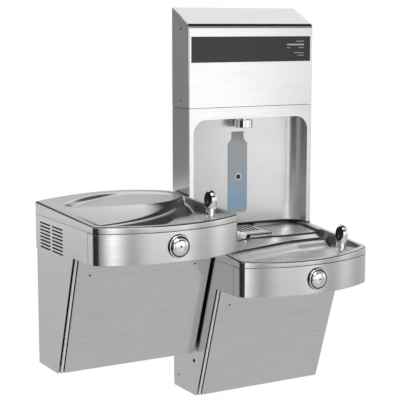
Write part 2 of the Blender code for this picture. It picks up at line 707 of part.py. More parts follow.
def bubbler(side, unit):
    """Flanged base through the bowl floor and a hooded spout whose mouth faces the bowl."""
    floor = -BUBBLER_FLOOR
    top = floor + BUBBLER_BASE_HEIGHT
    seat = floor + FLANGE_CLEAR
    low = floor - BUBBLER_FOOT
    base = [(0, top), (BUBBLER_RADIUS, top), (BUBBLER_RADIUS, seat + FLANGE_HEIGHT),
            (FLANGE_RADIUS, seat + FLANGE_HEIGHT / 2), (FLANGE_RADIUS, seat), (BUBBLER_RADIUS, seat),
            (BUBBLER_RADIUS, low), (0, low)]
    spot = Vector((BUBBLER_X, BUBBLER_Y, 0))
    turned(f"{side}_bubbler_base", base, CHROME, unit, spot)

    foot = top + GAP
    crown = HOOD_HEIGHT - HOOD_SWELL
    dome = [(HOOD_RADIUS * math.sin(t), foot + HOOD_SWELL + crown * math.cos(t))
            for t in (math.pi / 2 * i / 6 for i in range(7))]
    dome[0] = (0, foot + HOOD_HEIGHT)
    hood = turned(f"{side}_bubbler_hood", [*dome, (HOOD_NECK, foot), (0, foot)], CHROME, unit, spot)
    aim = Vector((math.cos(BUBBLER_AIM), math.sin(BUBBLER_AIM), 0)) * MOUTH_SHIFT
    middle = spot + aim + Vector((0, 0, foot + MOUTH_HEIGHT))
    name = f"{side}_mouth"
    cut(hood, place(name, ellipsoid(name, HOOD_MOUTH), None, unit, middle))


def drain(side, unit):
    """Pierced strainer with a tailpiece, and the waste pipe that runs back to the wall."""
    floor = -FLOOR_DEPTH
    tail = -DRAIN_TAIL_FOOT
    profile = [(0, floor), (DRAIN_RADIUS, floor), (DRAIN_RADIUS, floor - 2 * PRESSING),
               (DRAIN_TAIL_RADIUS, floor - 3 * PRESSING), (DRAIN_TAIL_RADIUS, tail), (0, tail)]
    spot = Vector((DRAIN_X, DRAIN_Y, 0))
    strainer = turned(f"{side}_strainer", profile, CHROME, unit, spot)
    bm = bmesh.new()
    for i in range(STRAINER_HOLES):
        turn = 2 * math.pi * i / STRAINER_HOLES
        made = bmesh.ops.create_cone(bm, cap_ends=True, segments=6, radius1=STRAINER_HOLE,
                                     radius2=STRAINER_HOLE, depth=2 * PRESSING)["verts"]
        middle = (STRAINER_RING * math.cos(turn), STRAINER_RING * math.sin(turn), floor)
        bmesh.ops.translate(bm, vec=middle, verts=made)
    name = f"{side}_strainer_holes"
    cut(strainer, place(name, mesh_from(bm, name), None, unit, spot))

    end = -HANGER_THICK - SHEET - 2 * GAP
    corners = [(DRAIN_X, DRAIN_Y, tail - GAP), (DRAIN_X, DRAIN_Y, -DRAIN_RUN),
               (DRAIN_X, DRAIN_DROP_Y, -DRAIN_RUN), (DRAIN_X, DRAIN_DROP_Y, -DRAIN_OUTLET),
               (DRAIN_X, end, -DRAIN_OUTLET)]
    route = rounded_route(corners, DRAIN_BEND)
    tube(f"{side}_drain_pipe", route, DRAIN_TAIL_RADIUS - SHEET, WHITE_PIPE, unit)


def water_line(side, unit):
    """Copper line from the valve's side to the foot of the bubbler."""
    start_y = -BOW_DEPTH + BARREL_DEPTH + VALVE_LENGTH / 2
    foot = -BUBBLER_FLOOR - BUBBLER_FOOT - GAP
    low = foot - 4 * LINE_RADIUS
    corners = [(MID + VALVE_RADIUS + GAP, start_y, -BUTTON_DROP),
               (BUBBLER_X - LINE_LEAD, start_y, -BUTTON_DROP),
               (BUBBLER_X, BUBBLER_Y, low), (BUBBLER_X, BUBBLER_Y, foot)]
    tube(f"{side}_water_line", rounded_route(corners, 3 * LINE_RADIUS), LINE_RADIUS, COPPER, unit)


def drip_grate(unit):
    """Slotted tray cover that stands on the right basin's shelf under the filling nozzle."""
    low = GRATE_SEAT + GAP
    top = low + GRATE_HEIGHT
    bm = bmesh.new()
    add_box(bm, (GRATE_LEFT, -RIGHT_LIP, low), (GRATE_LEFT + GRATE_WIDTH, -GRATE_BACK, top))
    under = [face for face in bm.faces if face.normal.z < -0.5]
    bmesh.ops.delete(bm, geom=under, context="FACES_ONLY")
    grate = thicken(place("drip_grate", mesh_from(bm, "drip_grate"), STEEL, unit), SHEET)
    pitch = (GRATE_WIDTH - 2 * GRATE_MARGIN) / GRATE_SLOTS
    slots = []
    for i in range(GRATE_SLOTS):
        x = GRATE_LEFT + GRATE_MARGIN + pitch * (i + 0.5) - GRATE_SLOT_WIDTH / 2
        slots.append(((x, -RIGHT_LIP + GRATE_MARGIN, top - 2 * SHEET),
                      (x + GRATE_SLOT_WIDTH, -GRATE_BACK - GRATE_MARGIN, top + SHEET)))
    cut(grate, place("grate_slots", boxes("grate_slots", slots), None, unit))


def tower_hood(unit):
    """Upper cover: front, sloping top and two sides, with the opening for the display."""
    slope = math.atan2(TOWER_WALL_TOP - TOWER_FRONT_TOP, TOWER_DEPTH - WALL_GAP)
    turn = math.pi / 2 - slope
    set_back = TOWER_BEND * math.tan(turn / 2)
    bend_centre = (-TOWER_DEPTH + TOWER_BEND, TOWER_FRONT_TOP - set_back)
    bend = arc(bend_centre, TOWER_BEND, math.pi, math.pi - turn, TOWER_BEND_STEPS)
    low = TOWER_SEAM + GAP
    profile = [(-TOWER_DEPTH, low), *bend, (-WALL_GAP, TOWER_WALL_TOP), (-WALL_GAP, low)]
    bm = bmesh.new()
    extrude(bm, [(0, y, z) for y, z in profile], (UNIT_WIDTH, 0, 0))
    bm.normal_update()
    open_faces = [face for face in bm.faces if face.normal.y > 0.9 or face.normal.z < -0.9]
    bmesh.ops.delete(bm, geom=open_faces, context="FACES_ONLY")
    hood = thicken(place("tower_hood", mesh_from(bm, "tower_hood", 30), STEEL, unit), SHEET)
    window = boxes("display_opening", [((DISPLAY_MARGIN, -2 * TOWER_DEPTH, DISPLAY_BOTTOM),
                                        (UNIT_WIDTH - DISPLAY_MARGIN, -TOWER_DEPTH / 2, DISPLAY_TOP))])
    cut(hood, place("display_opening", window, None, unit))


def display(unit):
    low = (DISPLAY_MARGIN + GAP, -TOWER_DEPTH, DISPLAY_BOTTOM + GAP)
    high = (UNIT_WIDTH - DISPLAY_MARGIN - GAP, -TOWER_DEPTH + DISPLAY_THICK, DISPLAY_TOP - GAP)
    place("display_panel", boxes("display_panel", [(low, high)]), BLACK, unit)


def alcove_outline(low):
    """Arched opening in the front: open at the foot, with rounded upper corners."""
    left = ALCOVE_MARGIN
    right = UNIT_WIDTH - left
    corner = ALCOVE_CORNER
    spring = ALCOVE_TOP - corner
    upper_right = arc((right - corner, spring), corner, 0, math.pi / 2, ALCOVE_CORNER_STEPS)
    upper_left = arc((left + corner, spring), corner, math.pi / 2, math.pi, ALCOVE_CORNER_STEPS)
    return [(right, low), *upper_right, *upper_left, (left, low)]


def tower_wrapper(unit):
    """Lower cover: two sides and a front with the arched opening of the bottle alcove."""
    plan = [(0, -WALL_GAP), (0, -TOWER_DEPTH), (UNIT_WIDTH, -TOWER_DEPTH), (UNIT_WIDTH, -WALL_GAP)]
    bm = loft([[(x, y, z) for x, y in plan] for z in (TOWER_SEAM, TOWER_BOTTOM)])
    bmesh.ops.recalc_face_normals(bm, faces=bm.faces)
    wrapper = thicken(place("tower_wrapper", mesh_from(bm, "tower_wrapper"), STEEL, unit), SHEET)
    bm = bmesh.new()
    extrude(bm, [(x, -2 * TOWER_DEPTH, z) for x, z in alcove_outline(0)], (0, TOWER_DEPTH * 1.5, 0))
    cut(wrapper, place("alcove_opening", mesh_from(bm, "alcove_opening"), None, unit))


def liner_plan():
    """Alcove in plan: short cheeks, large round corners and a flat back."""
    left = ALCOVE_MARGIN - SHEET
    right = UNIT_WIDTH - left
    front = -TOWER_DEPTH + SHEET + GAP
    centre_y = -LINER_BACK - LINER_CURVE
    left_arc = arc((left + LINER_CURVE, centre_y), LINER_CURVE, math.pi, math.pi / 2, LINER_STEPS)
    right_arc = arc((right - LINER_CURVE, centre_y), LINER_CURVE, math.pi / 2, 0, LINER_STEPS)
    return [(left, front), *left_arc, *right_arc, (right, front)]


def tower_seal(unit):
    """Flat seal between the basin's deck and the foot of the tower, open in front as the alcove is."""
    low = RIGHT_DECK + GAP
    outside = [(0, -TOWER_DEPTH), (0, -WALL_GAP), (UNIT_WIDTH, -WALL_GAP), (UNIT_WIDTH, -TOWER_DEPTH)]
    plan = [*outside, *reversed(liner_plan())]
    bm = bmesh.new()
    extrude(bm, [(x, y, low) for x, y in plan], (0, 0, TOWER_BOTTOM - GAP - low))
    place("tower_seal", mesh_from(bm, "tower_seal", 30), BLACK, unit)


def alcove_liner(unit):
    """Curved back and ceiling of the bottle alcove, pierced for the nozzle."""
    ceiling = ALCOVE_TOP + SHEET
    bm = bmesh.new()
    line = [bm.verts.new((x, y, ceiling)) for x, y in liner_plan()]
    bm.faces.new(line)
    walls = [bm.edges.get((a, b)) for a, b in zip(line, line[1:])]
    made = bmesh.ops.extrude_edge_only(bm, edges=walls)
    bmesh.ops.translate(bm, vec=(0, 0, TOWER_BOTTOM - ceiling), verts=new_verts(made))
    bmesh.ops.recalc_face_normals(bm, faces=bm.faces)
    liner = place("alcove_liner", mesh_from(bm, "alcove_liner", 30), STEEL, unit)
    thicken(liner, SHEET, inward=False)
    reach = NOZZLE_SHANK * 4
    hole = round_bar("nozzle_hole", NOZZLE_SHANK + GAP, reach)
    cut(liner, place("nozzle_hole", hole, None, unit, (MID, NOZZLE_Y, ceiling - reach / 2)))


def nozzle(unit):
    """Filling nozzle: a drum under the ceiling on a shank with a through way."""
    top = ALCOVE_TOP - NOZZLE_DROP
    low = top - NOZZLE_HEIGHT
    shank = ALCOVE_TOP + NOZZLE_SHANK_TOP
    way = LINE_RADIUS
    profile = [(way, shank), (NOZZLE_SHANK, shank), (NOZZLE_SHANK, top), (NOZZLE_RADIUS - NOZZLE_EDGE, top),
               (NOZZLE_RADIUS, top - NOZZLE_EDGE), (NOZZLE_RADIUS, low + 2 * NOZZLE_CONE),
               (NOZZLE_RADIUS - NOZZLE_CONE, low), (way, low)]
    turned("filling_nozzle", profile, CHROME, unit, (MID, NOZZLE_Y, 0), ring=True)


def bottle_window(unit):
    """Bottle-shaped window on the alcove's back, with the sensor below its middle."""
    half = WINDOW_WIDTH / 2
    neck = WINDOW_NECK / 2
    rise = WINDOW_NECK_FOOT - WINDOW_SHOULDER
    face = -LINER_BACK - GAP
    shoulder = []
    for i in range(SHOULDER_STEPS + 1):
        t = i / SHOULDER_STEPS
        shoulder.append((half + (neck - half) * smoothstep(0, 1, t), WINDOW_SHOULDER + rise * t))
    foot = [(half - WINDOW_CORNER, WINDOW_BOTTOM), (half, WINDOW_BOTTOM + WINDOW_CORNER)]
    right = [*foot, *shoulder, (neck, WINDOW_TOP)]
    left = [(-x, z) for x, z in reversed(right)]
    bm = bmesh.new()
    extrude(bm, [(MID + x, face, z) for x, z in right + left], (0, -WINDOW_THICK, 0))
    place("bottle_window", mesh_from(bm, "bottle_window"), BLUE, unit)

    spot = (MID, face - WINDOW_THICK - GAP, SENSOR_HEIGHT)
    ring = [(SENSOR_LENS + GAP, SENSOR_PROUD), (SENSOR_RADIUS, SENSOR_PROUD), (SENSOR_RADIUS, 0),
            (SENSOR_LENS + GAP, 0)]
    turned("sensor_ring", ring, WHITE, unit, spot, UP_TO_FRONT, ring=True)
    lens = [(0, SENSOR_PROUD), (SENSOR_LENS, SENSOR_PROUD), (SENSOR_LENS, 0), (0, 0)]
    turned("sensor_lens", lens, BLACK, unit, spot, UP_TO_FRONT)


def tower_inside(unit):
    """Wall plate of the tower, filling valve on it and the line down to the nozzle."""
    inner = SHEET + GAP
    low = TOWER_BOTTOM
    plate_face = -WALL_GAP - SHEET
    top = TOWER_WALL_TOP - 4 * SHEET
    plate = [((inner, plate_face, low), (UNIT_WIDTH - inner, -WALL_GAP, top))]
    place("tower_back_plate", boxes("tower_back_plate", plate), GALVANISED, unit)
    width, depth, height = SOLENOID_SIZE
    corner = (MID - width / 2, plate_face - GAP - depth, SOLENOID_HEIGHT)
    far = (MID + width / 2, plate_face - GAP, SOLENOID_HEIGHT + height)
    place("filling_valve", boxes("filling_valve", [(corner, far)]), GREY_PLASTIC, unit)
    start = (MID, plate_face - GAP - depth / 2, SOLENOID_HEIGHT - GAP)
    end = ALCOVE_TOP + NOZZLE_SHANK_TOP + GAP
    middle = (start[2] + end) / 2
    corners = [start, (MID, start[1], middle), (MID, NOZZLE_Y, middle), (MID, NOZZLE_Y, end)]
    tube("filling_line", rounded_route(corners, 2 * LINE_RADIUS), 1.5 * LINE_RADIUS, WHITE_PIPE, unit)


def hanger(root):
    """Plate that is fixed to the wall and carries both cabinets."""
    half = HANGER_WIDTH / 2
    plate = [((-half, -HANGER_THICK, -HANGER_HEIGHT / 2), (half, 0, HANGER_HEIGHT / 2))]
    obj = place("hanger_plate", boxes("hanger_plate", plate), GALVANISED, root)
    width, height = HANGER_SLOT
    slots = []
    for x in HANGER_SLOTS_X:
        slots.append(((x - width / 2, -2 * HANGER_THICK, -height / 2),
                      (x + width / 2, HANGER_THICK, height / 2)))
    cut(obj, place("hanger_slots", boxes("hanger_slots", slots), None, root))


def cooling_set(unit):
    """Compressor, finned condenser and its fan, standing in the left cabinet's bottom pan."""
    floor = -CABINET_BOTTOM + SHEET + GAP
    radius = COMPRESSOR_RADIUS
    straight = COMPRESSOR_HEIGHT - radius
    crown = [(radius * math.sin(t), floor + straight + radius * math.cos(t))
             for t in (math.pi / 2 * i / 6 for i in range(7))]
    crown[0] = (0, floor + COMPRESSOR_HEIGHT)
    turned("compressor", [*crown, (radius, floor), (0, floor)], BLACK, unit, (COMPRESSOR_X, COMPRESSOR_Y, 0))

    width, depth, height = CONDENSER_SIZE
    back = COMPRESSOR_Y + depth / 2
    front = COMPRESSOR_Y - depth / 2
    block = [((CONDENSER_X, front, floor), (CONDENSER_X + width, back, floor + height))]
    condenser = place("condenser", boxes("condenser", block), GALVANISED, unit)
    pitch = height / (CONDENSER_FINS + 1)
    slots = []
    for i in range(CONDENSER_FINS):
        z = floor + pitch * (i + 1) - FIN_GAP / 2
        slots.append(((CONDENSER_X - SHEET, front - SHEET, z),
                      (CONDENSER_X + FIN_DEPTH, back + SHEET, z + FIN_GAP)))
    cut(condenser, place("fin_slots", boxes("fin_slots", slots), None, unit))

    axis_z = floor + height / 2
    along_x = (0, math.pi / 2, 0)
    fan_x = CONDENSER_X + width + FAN_SPACE
    hub = round_bar("fan_blade", FAN_HUB, FAN_WIDTH)
    fan = place("fan_blade", hub, GREY_PLASTIC, unit, (fan_x, COMPRESSOR_Y, axis_z), along_x)
    for i in range(FAN_BLADES):
        name = f"fan_vane_{i}"
        vane = boxes(name, [((FAN_ROOT, -FAN_HUB, -SHEET / 2), (FAN_RADIUS, FAN_HUB, SHEET / 2))])
        turn = 2 * math.pi * i / FAN_BLADES
        middle = Vector((0, 0, FAN_WIDTH / 2))
        cut(fan, place(name, vane, None, fan, middle, (FAN_PITCH, 0, turn)), "UNION")
    bore = round_bar("fan_bore", MOTOR_SHAFT + GAP, FAN_WIDTH * 2)
    cut(fan, place("fan_bore", bore, None, fan, (0, 0, FAN_WIDTH - BORE_DEPTH)))

    face = FAN_WIDTH + FAN_SPACE / 2
    profile = [(0, face + MOTOR_LENGTH), (MOTOR_RADIUS, face + MOTOR_LENGTH), (MOTOR_RADIUS, face),
               (MOTOR_SHAFT, face), (MOTOR_SHAFT, FAN_WIDTH - SHAFT_REACH), (0, FAN_WIDTH - SHAFT_REACH)]
    motor = turned("fan_motor", profile, BLACK, unit, (fan_x, COMPRESSOR_Y, axis_z), along_x)
    half = PEDESTAL / 2
    start = fan_x + face + MOTOR_LENGTH / 2 - half
    post = [((start, COMPRESSOR_Y - half, floor), (start + PEDESTAL, COMPRESSOR_Y + half, axis_z))]
    cut(motor, place("motor_post", boxes("motor_post", post), None, unit), "UNION")


def drinking_unit(side, x, rim, height):
    """All that the two units have in common."""
    unit = empty(f"{side}_unit", (x, 0, rim))
    basin(side, height, unit)
    apron(side, unit)
    panel = side_panel(f"{side}_left_panel", 0, -1, unit)
    side_panel(f"{side}_right_panel", UNIT_WIDTH, 1, unit)
    front_panel(side, unit)
    cabinet(side, unit)
    push_button(side, unit)
    bubbler(side, unit)
    drain(side, unit)
    water_line(side, unit)
    return unit, panel


def build():
    left, left_side = drinking_unit("left", -UNIT_WIDTH - UNIT_GAP / 2, RIM_HEIGHT, left_height)
    right, _ = drinking_unit("right", UNIT_GAP / 2, RIM_HEIGHT - LEVEL_STEP, right_height)
    louvres(left_side, left)
    cooling_set(left)
    drip_grate(right)
    tower_hood(right)
    display(right)
    tower_wrapper(right)
    tower_seal(right)
    alcove_liner(right)
    nozzle(right)
    bottle_window(right)
    tower_inside(right)
    hanger(empty("wall", (0, 0, 0)))


build()
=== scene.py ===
import math

import bmesh
import bpy
from mathutils import Matrix, Vector


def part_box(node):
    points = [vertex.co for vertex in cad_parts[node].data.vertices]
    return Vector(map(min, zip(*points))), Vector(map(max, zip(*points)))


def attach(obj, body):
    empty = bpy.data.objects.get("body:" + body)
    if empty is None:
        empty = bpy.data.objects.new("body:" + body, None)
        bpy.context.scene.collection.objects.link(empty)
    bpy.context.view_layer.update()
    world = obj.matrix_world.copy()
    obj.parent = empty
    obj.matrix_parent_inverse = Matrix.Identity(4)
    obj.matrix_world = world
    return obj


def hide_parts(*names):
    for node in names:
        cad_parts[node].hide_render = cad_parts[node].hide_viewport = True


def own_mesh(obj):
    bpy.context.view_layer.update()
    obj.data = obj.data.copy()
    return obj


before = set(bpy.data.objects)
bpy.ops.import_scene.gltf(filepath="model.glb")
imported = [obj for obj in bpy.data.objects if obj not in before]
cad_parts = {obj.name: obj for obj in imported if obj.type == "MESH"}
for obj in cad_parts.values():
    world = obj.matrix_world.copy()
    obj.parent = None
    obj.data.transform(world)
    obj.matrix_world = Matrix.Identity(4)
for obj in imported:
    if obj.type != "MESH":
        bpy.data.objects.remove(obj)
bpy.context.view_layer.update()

# Camera: where the photograph was taken from, in front of the left end and a little above the basins.
# Found from the straight edges of the cabinets and the tower, for a picture 400 pixels wide.
PICTURE_WIDTH = 400
FOCAL_PIXELS = 1179.2
SENSOR_MM = 36
CAMERA_AT = (-1.7993, -3.3274, 0.8657)
CAMERA_TILT = math.radians(81.6)
CAMERA_TURN = math.radians(-29.8)
camera_data = bpy.data.cameras.new("photo_camera")
camera_data.sensor_fit = "HORIZONTAL"
camera_data.sensor_width = SENSOR_MM
camera_data.lens = FOCAL_PIXELS * SENSOR_MM / PICTURE_WIDTH
camera = bpy.data.objects.new("photo_camera", camera_data)
camera.location = CAMERA_AT
camera.rotation_euler = (CAMERA_TILT, 0, CAMERA_TURN)
bpy.context.scene.collection.objects.link(camera)
bpy.context.scene.camera = camera

# Wall side and inside: hanger plate, back panels and bottom pans of galvanised sheet, brass valves,
# copper lines, plastic waste pipes and the cooling set. They stay as they were built and hardly show.
GRAIN_HEIGHT = 0.0004     # fine unevenness of plain finishes
GRAIN_STRENGTH = 0.06
USUAL_GLEAM = 0.5         # Blender's own level for a plain surface
COLOURS = {"data_type": "RGBA"}


def linear(hex_colour):
    """Linear colour of an sRGB hex value."""
    parts = [int(hex_colour[i:i + 2], 16) / 255 for i in (1, 3, 5)]
    return (*[p / 12.92 if p <= 0.04045 else ((p + 0.055) / 1.055) ** 2.4 for p in parts], 1)


def feed(tree, node, **sockets):
    """Give sockets, named or numbered as in_0, a value, an output or a node's first output."""
    for key, value in sockets.items():
        socket = node.inputs[int(key[3:]) if key.startswith("in_") else key.replace("_", " ")]
        if isinstance(value, bpy.types.Node):
            value = value.outputs[0]
        if isinstance(value, bpy.types.NodeSocket):
            tree.links.new(value, socket)
        else:
            socket.default_value = value


def add(tree, kind, settings=None, **sockets):
    """One shader node with its settings and links."""
    node = tree.nodes.new(kind)
    for key, value in (settings or {}).items():
        if key == "stops":
            scale = node.color_ramp.elements
            scale.remove(scale[1])
            scale[0].position, scale[0].color = value[0]
            for place, colour in value[1:]:
                scale.new(place).color = colour
        else:
            setattr(node, key, value)
    feed(tree, node, **sockets)
    return node


def new_finish(name):
    """Empty material with its tree, its shader and the place of a point on its piece."""
    material = bpy.data.materials.new(name)
    material.use_nodes = True
    tree = material.node_tree
    place = add(tree, "ShaderNodeTexCoord").outputs["Object"]
    return material, tree, tree.nodes["Principled BSDF"], place


def plain_finish(name, dark, light, metallic, smooth, rough, grain_mm, gleam=USUAL_GLEAM):
    """A surface whose colour and gloss wander between two values, with a fine grain of that size."""
    material, tree, shader, place = new_finish(name)
    grain = add(tree, "ShaderNodeTexNoise", Vector=place, Scale=1000 / grain_mm, Detail=3.0)
    tone = add(tree, "ShaderNodeMix", COLOURS, in_0=grain, in_6=linear(dark), in_7=linear(light))
    gloss = add(tree, "ShaderNodeMapRange", in_0=grain, in_3=smooth, in_4=rough)
    bump = add(tree, "ShaderNodeBump", Strength=GRAIN_STRENGTH, Distance=GRAIN_HEIGHT, Height=grain)
    feed(tree, shader, Base_Color=tone.outputs[2], Roughness=gloss, Normal=bump, Metallic=metallic)
    feed(tree, shader, Specular_IOR_Level=gleam)
    return material


def dress(material, *names):
    """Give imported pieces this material."""
    for name in names:
        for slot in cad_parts[name].material_slots:
            slot.material = material


both = ("left", "right")
# Zinc on steel: dull, in cloudy greys.
galvanised = plain_finish("galvanised_sheet", "#9da3a5", "#c2c7c9", 1.0, 0.35, 0.55, 14)
dress(galvanised, "hanger_plate", "tower_back_plate")
dress(galvanised, *[f"{side}_{piece}" for side in both for piece in ("back_panel", "bottom_pan")])
# Sand-cast brass: yellow, with a soft uneven gleam.
brass = plain_finish("cast_brass", "#a5833f", "#c9a860", 1.0, 0.28, 0.40, 4)
dress(brass, "left_valve", "right_valve")
# Drawn copper tube: red-brown and fairly bright.
copper = plain_finish("drawn_copper", "#a9653f", "#c9835c", 1.0, 0.22, 0.34, 6)
dress(copper, "left_water_line", "right_water_line")
# Extruded PVC: off-white with a low shine.
white_pvc = plain_finish("white_pvc", "#d6d6d1", "#e2e2de", 0.0, 0.35, 0.45, 5)
dress(white_pvc, "left_drain_pipe", "right_drain_pipe", "filling_line")
# Sprayed enamel: black, with a slightly orange-peeled gloss.
black_enamel = plain_finish("black_enamel", "#161616", "#262626", 0.0, 0.25, 0.38, 3)
dress(black_enamel, "compressor", "fan_motor")
# Rolled aluminium fins: pale, blurred metal.
fin_aluminium = plain_finish("fin_aluminium", "#b5b8ba", "#d2d5d7", 1.0, 0.30, 0.45, 5)
dress(fin_aluminium, "condenser")
# Moulded nylon: even mid grey, nearly matt.
grey_nylon = plain_finish("grey_nylon", "#6c6f72", "#7d8083", 0.0, 0.40, 0.50, 3)
dress(grey_nylon, "fan_blade", "filling_valve")

# Cabinet panels: sides, inclined fronts and the pans under the aprons, of 1.5 mm stainless sheet.
# Brushed along the wall's length, which blurs reflections up and down and leaves faint streaks.
BRUSH_LONG = 0.160        # length of a brush streak
BRUSH_FINE = 0.0024       # streak spacing, drawn several times coarser than the real grit to show
BRUSH_HEIGHT = 0.0003
BRUSH_STRENGTH = 0.025
BRUSH_SPAN = (0.40, 0.85)  # values of the pattern that take the darkest and the lightest tone
SMUDGE = 0.080            # size of the cloudy patches that wiping leaves
SMUDGE_SHARE = 0.25
UPRIGHT_GRAIN = (BRUSH_LONG, BRUSH_LONG, BRUSH_FINE)
PANELS = ("left_panel", "right_panel", "front_panel", "under_pan")


def brushed_stainless(name, grain, dark="#dadada", light="#e4e4e4", smooth=0.17, rough=0.22):
    """Satin stainless; grain is how far its pattern runs along X, Y and Z."""
    material, tree, shader, place = new_finish(name)
    drawn = add(tree, "ShaderNodeVectorMath", {"operation": "DIVIDE"}, in_0=place, in_1=grain)
    brush = add(tree, "ShaderNodeTexNoise", Vector=drawn, Scale=1.0, Detail=4.0, Roughness=0.6)
    smudge = add(tree, "ShaderNodeTexNoise", Vector=place, Scale=1 / SMUDGE, Detail=2.0)
    mixed = add(tree, "ShaderNodeMath", {"operation": "MULTIPLY_ADD"}, in_0=smudge, in_1=SMUDGE_SHARE,
                in_2=brush)
    tone = add(tree, "ShaderNodeMapRange", in_0=mixed, in_1=BRUSH_SPAN[0], in_2=BRUSH_SPAN[1])
    colour = add(tree, "ShaderNodeMix", COLOURS, in_0=tone, in_6=linear(dark), in_7=linear(light))
    gloss = add(tree, "ShaderNodeMapRange", in_0=tone, in_3=rough, in_4=smooth)
    bump = add(tree, "ShaderNodeBump", Strength=BRUSH_STRENGTH, Distance=BRUSH_HEIGHT, Height=brush)
    feed(tree, shader, Base_Color=colour.outputs[2], Roughness=gloss, Normal=bump, Metallic=1.0)
    return material


# Sheet with level streaks: satin grey that spreads what it mirrors up and down.
upright_steel = brushed_stainless("brushed_stainless_upright", UPRIGHT_GRAIN)
dress(upright_steel, *[f"{side}_{panel}" for side in both for panel in PANELS])

# Aprons: bowed stainless sheets under the basins, wrapped round both front corners, with a hemmed
# lower edge. A hair seam divides each from its basin and from the cabinet's sides.
SHEET = 0.0015
SKIRT_DEPTH = 0.039       # basin's skirt, from the back of the rim down
SIDE_DEPTH = 0.405        # flat part of a side, from the wall to the corner bend
CORNER_RADIUS = 0.025
APRON_START = 0.3825      # side seam, from the wall
APRON_GAP = 0.0003        # packed aprons start this far below the skirts
SEAM = 0.0013             # open seam, drawn a little wider than the real one to show
CUT_EDGE = 0.0005         # rounding of the upper edge
HEM = 0.012               # lower edge turned in
HEM_BEND = 0.003
HEM_STEPS = 6
CORNER_STEPS = 14
BOW_STEPS = 80
BARREL_HOLE = 0.0303      # hole for the push button's ring
HOLE_STEPS = 64
DRILL_AHEAD = Vector((0, -0.02, 0))
DRILL_BEHIND = Vector((0, 0.03, 0))
WELD = 0.00001            # points nearer than this are one

unit_low, unit_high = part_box("left_apron")
UNIT_WIDTH = unit_high.x - unit_low.x
MID = UNIT_WIDTH / 2
BOW_DEPTH = -unit_low.y
APRON_DROP = unit_high.z + APRON_GAP + SKIRT_DEPTH - unit_low.z
BOW_RISE = BOW_DEPTH - SIDE_DEPTH
CORNER_SPAN = MID - CORNER_RADIUS
BOW_RADIUS = (CORNER_SPAN ** 2 + BOW_RISE ** 2 - CORNER_RADIUS ** 2) / (2 * (BOW_RISE - CORNER_RADIUS))
BOW_CENTRE_Y = BOW_RADIUS - BOW_DEPTH
BOW_ANGLE = math.atan2(CORNER_SPAN, BOW_CENTRE_Y + SIDE_DEPTH)
unit_at = {}
button_at = {}
for side in both:
    low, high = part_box(f"{side}_apron")
    unit_at[side] = Vector((low.x, 0, high.z + APRON_GAP + SKIRT_DEPTH))
    low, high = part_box(f"{side}_button")
    button_at[side] = Vector(((low.x + high.x) / 2, -BOW_DEPTH, (low.z + high.z) / 2))


def arc(centre, radius, start, end, steps):
    """Points of a plane arc from one angle to another."""
    turns = [start + (end - start) * i / steps for i in range(steps + 1)]
    return [(centre[0] + radius * math.cos(t), centre[1] + radius * math.sin(t)) for t in turns]


def front_line(inset):
    """Corner bend, bowed front and corner bend of a unit in plan, drawn in by inset."""
    corner = CORNER_RADIUS - inset
    down = -math.pi / 2
    left = arc((CORNER_RADIUS, -SIDE_DEPTH), corner, -math.pi, down - BOW_ANGLE, CORNER_STEPS)
    bow = arc((MID, BOW_CENTRE_Y), BOW_RADIUS - inset, down - BOW_ANGLE, down + BOW_ANGLE, BOW_STEPS)
    right = arc((UNIT_WIDTH - CORNER_RADIUS, -SIDE_DEPTH), corner, down + BOW_ANGLE, 0, CORNER_STEPS)
    return [*left, *bow[1:], *right[1:]]


def add_skin(bm, rows, loop=False):
    """Quads between rows of points; a loop joins each row's ends."""
    grid = [[bm.verts.new(point) for point in row] for row in rows]
    for upper, lower in zip(grid, grid[1:]):
        count = len(upper) if loop else len(upper) - 1
        for i in range(count):
            j = (i + 1) % len(upper)
            bm.faces.new((upper[i], upper[j], lower[j], lower[i]))
    return grid


def to_object(bm, name, smooth_below=40):
    """Finished mesh object, smooth apart from edges sharper than that angle."""
    bmesh.ops.recalc_face_normals(bm, faces=bm.faces)
    mesh = bpy.data.meshes.new(name)
    bm.to_mesh(mesh)
    bm.free()
    mesh.shade_smooth()
    mesh.set_sharp_from_angle(angle=math.radians(smooth_below))
    made = bpy.data.objects.new(name, mesh)
    bpy.context.scene.collection.objects.link(made)
    return made


def settle(target):
    """Keep a piece as its modifiers make it, with flat faces shaded flat beside rounded edges."""
    even = target.modifiers.new("even", "WEIGHTED_NORMAL")
    even.keep_sharp = True
    graph = bpy.context.evaluated_depsgraph_get()
    made = bpy.data.meshes.new_from_object(target.evaluated_get(graph))
    target.modifiers.clear()
    target.data = made


def carve(target, cutter, operation="DIFFERENCE"):
    """Cut a piece with another object, which is used up."""
    change = target.modifiers.new("cut", "BOOLEAN")
    change.object = cutter
    change.operation = operation
    settle(target)
    bpy.data.objects.remove(cutter, do_unlink=True)


def bar(name, radius, start, end, steps=48):
    """Round bar between two points, such as a drill for a hole."""
    axis = Vector(end) - Vector(start)
    turn = axis.to_track_quat("Z", "Y").to_matrix().to_4x4()
    middle = Matrix.Translation((Vector(start) + Vector(end)) / 2) @ turn
    bm = bmesh.new()
    bmesh.ops.create_cone(bm, cap_ends=True, segments=steps, radius1=radius, radius2=radius,
                          depth=axis.length, matrix=middle)
    return to_object(bm, name)


def fit(piece, material, slot, body, *replaced):
    """Give a piece its material and its place in the assembly."""
    piece.data.materials.clear()
    piece.data.materials.append(material)
    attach(piece, body)
    if replaced:
        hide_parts(*replaced)


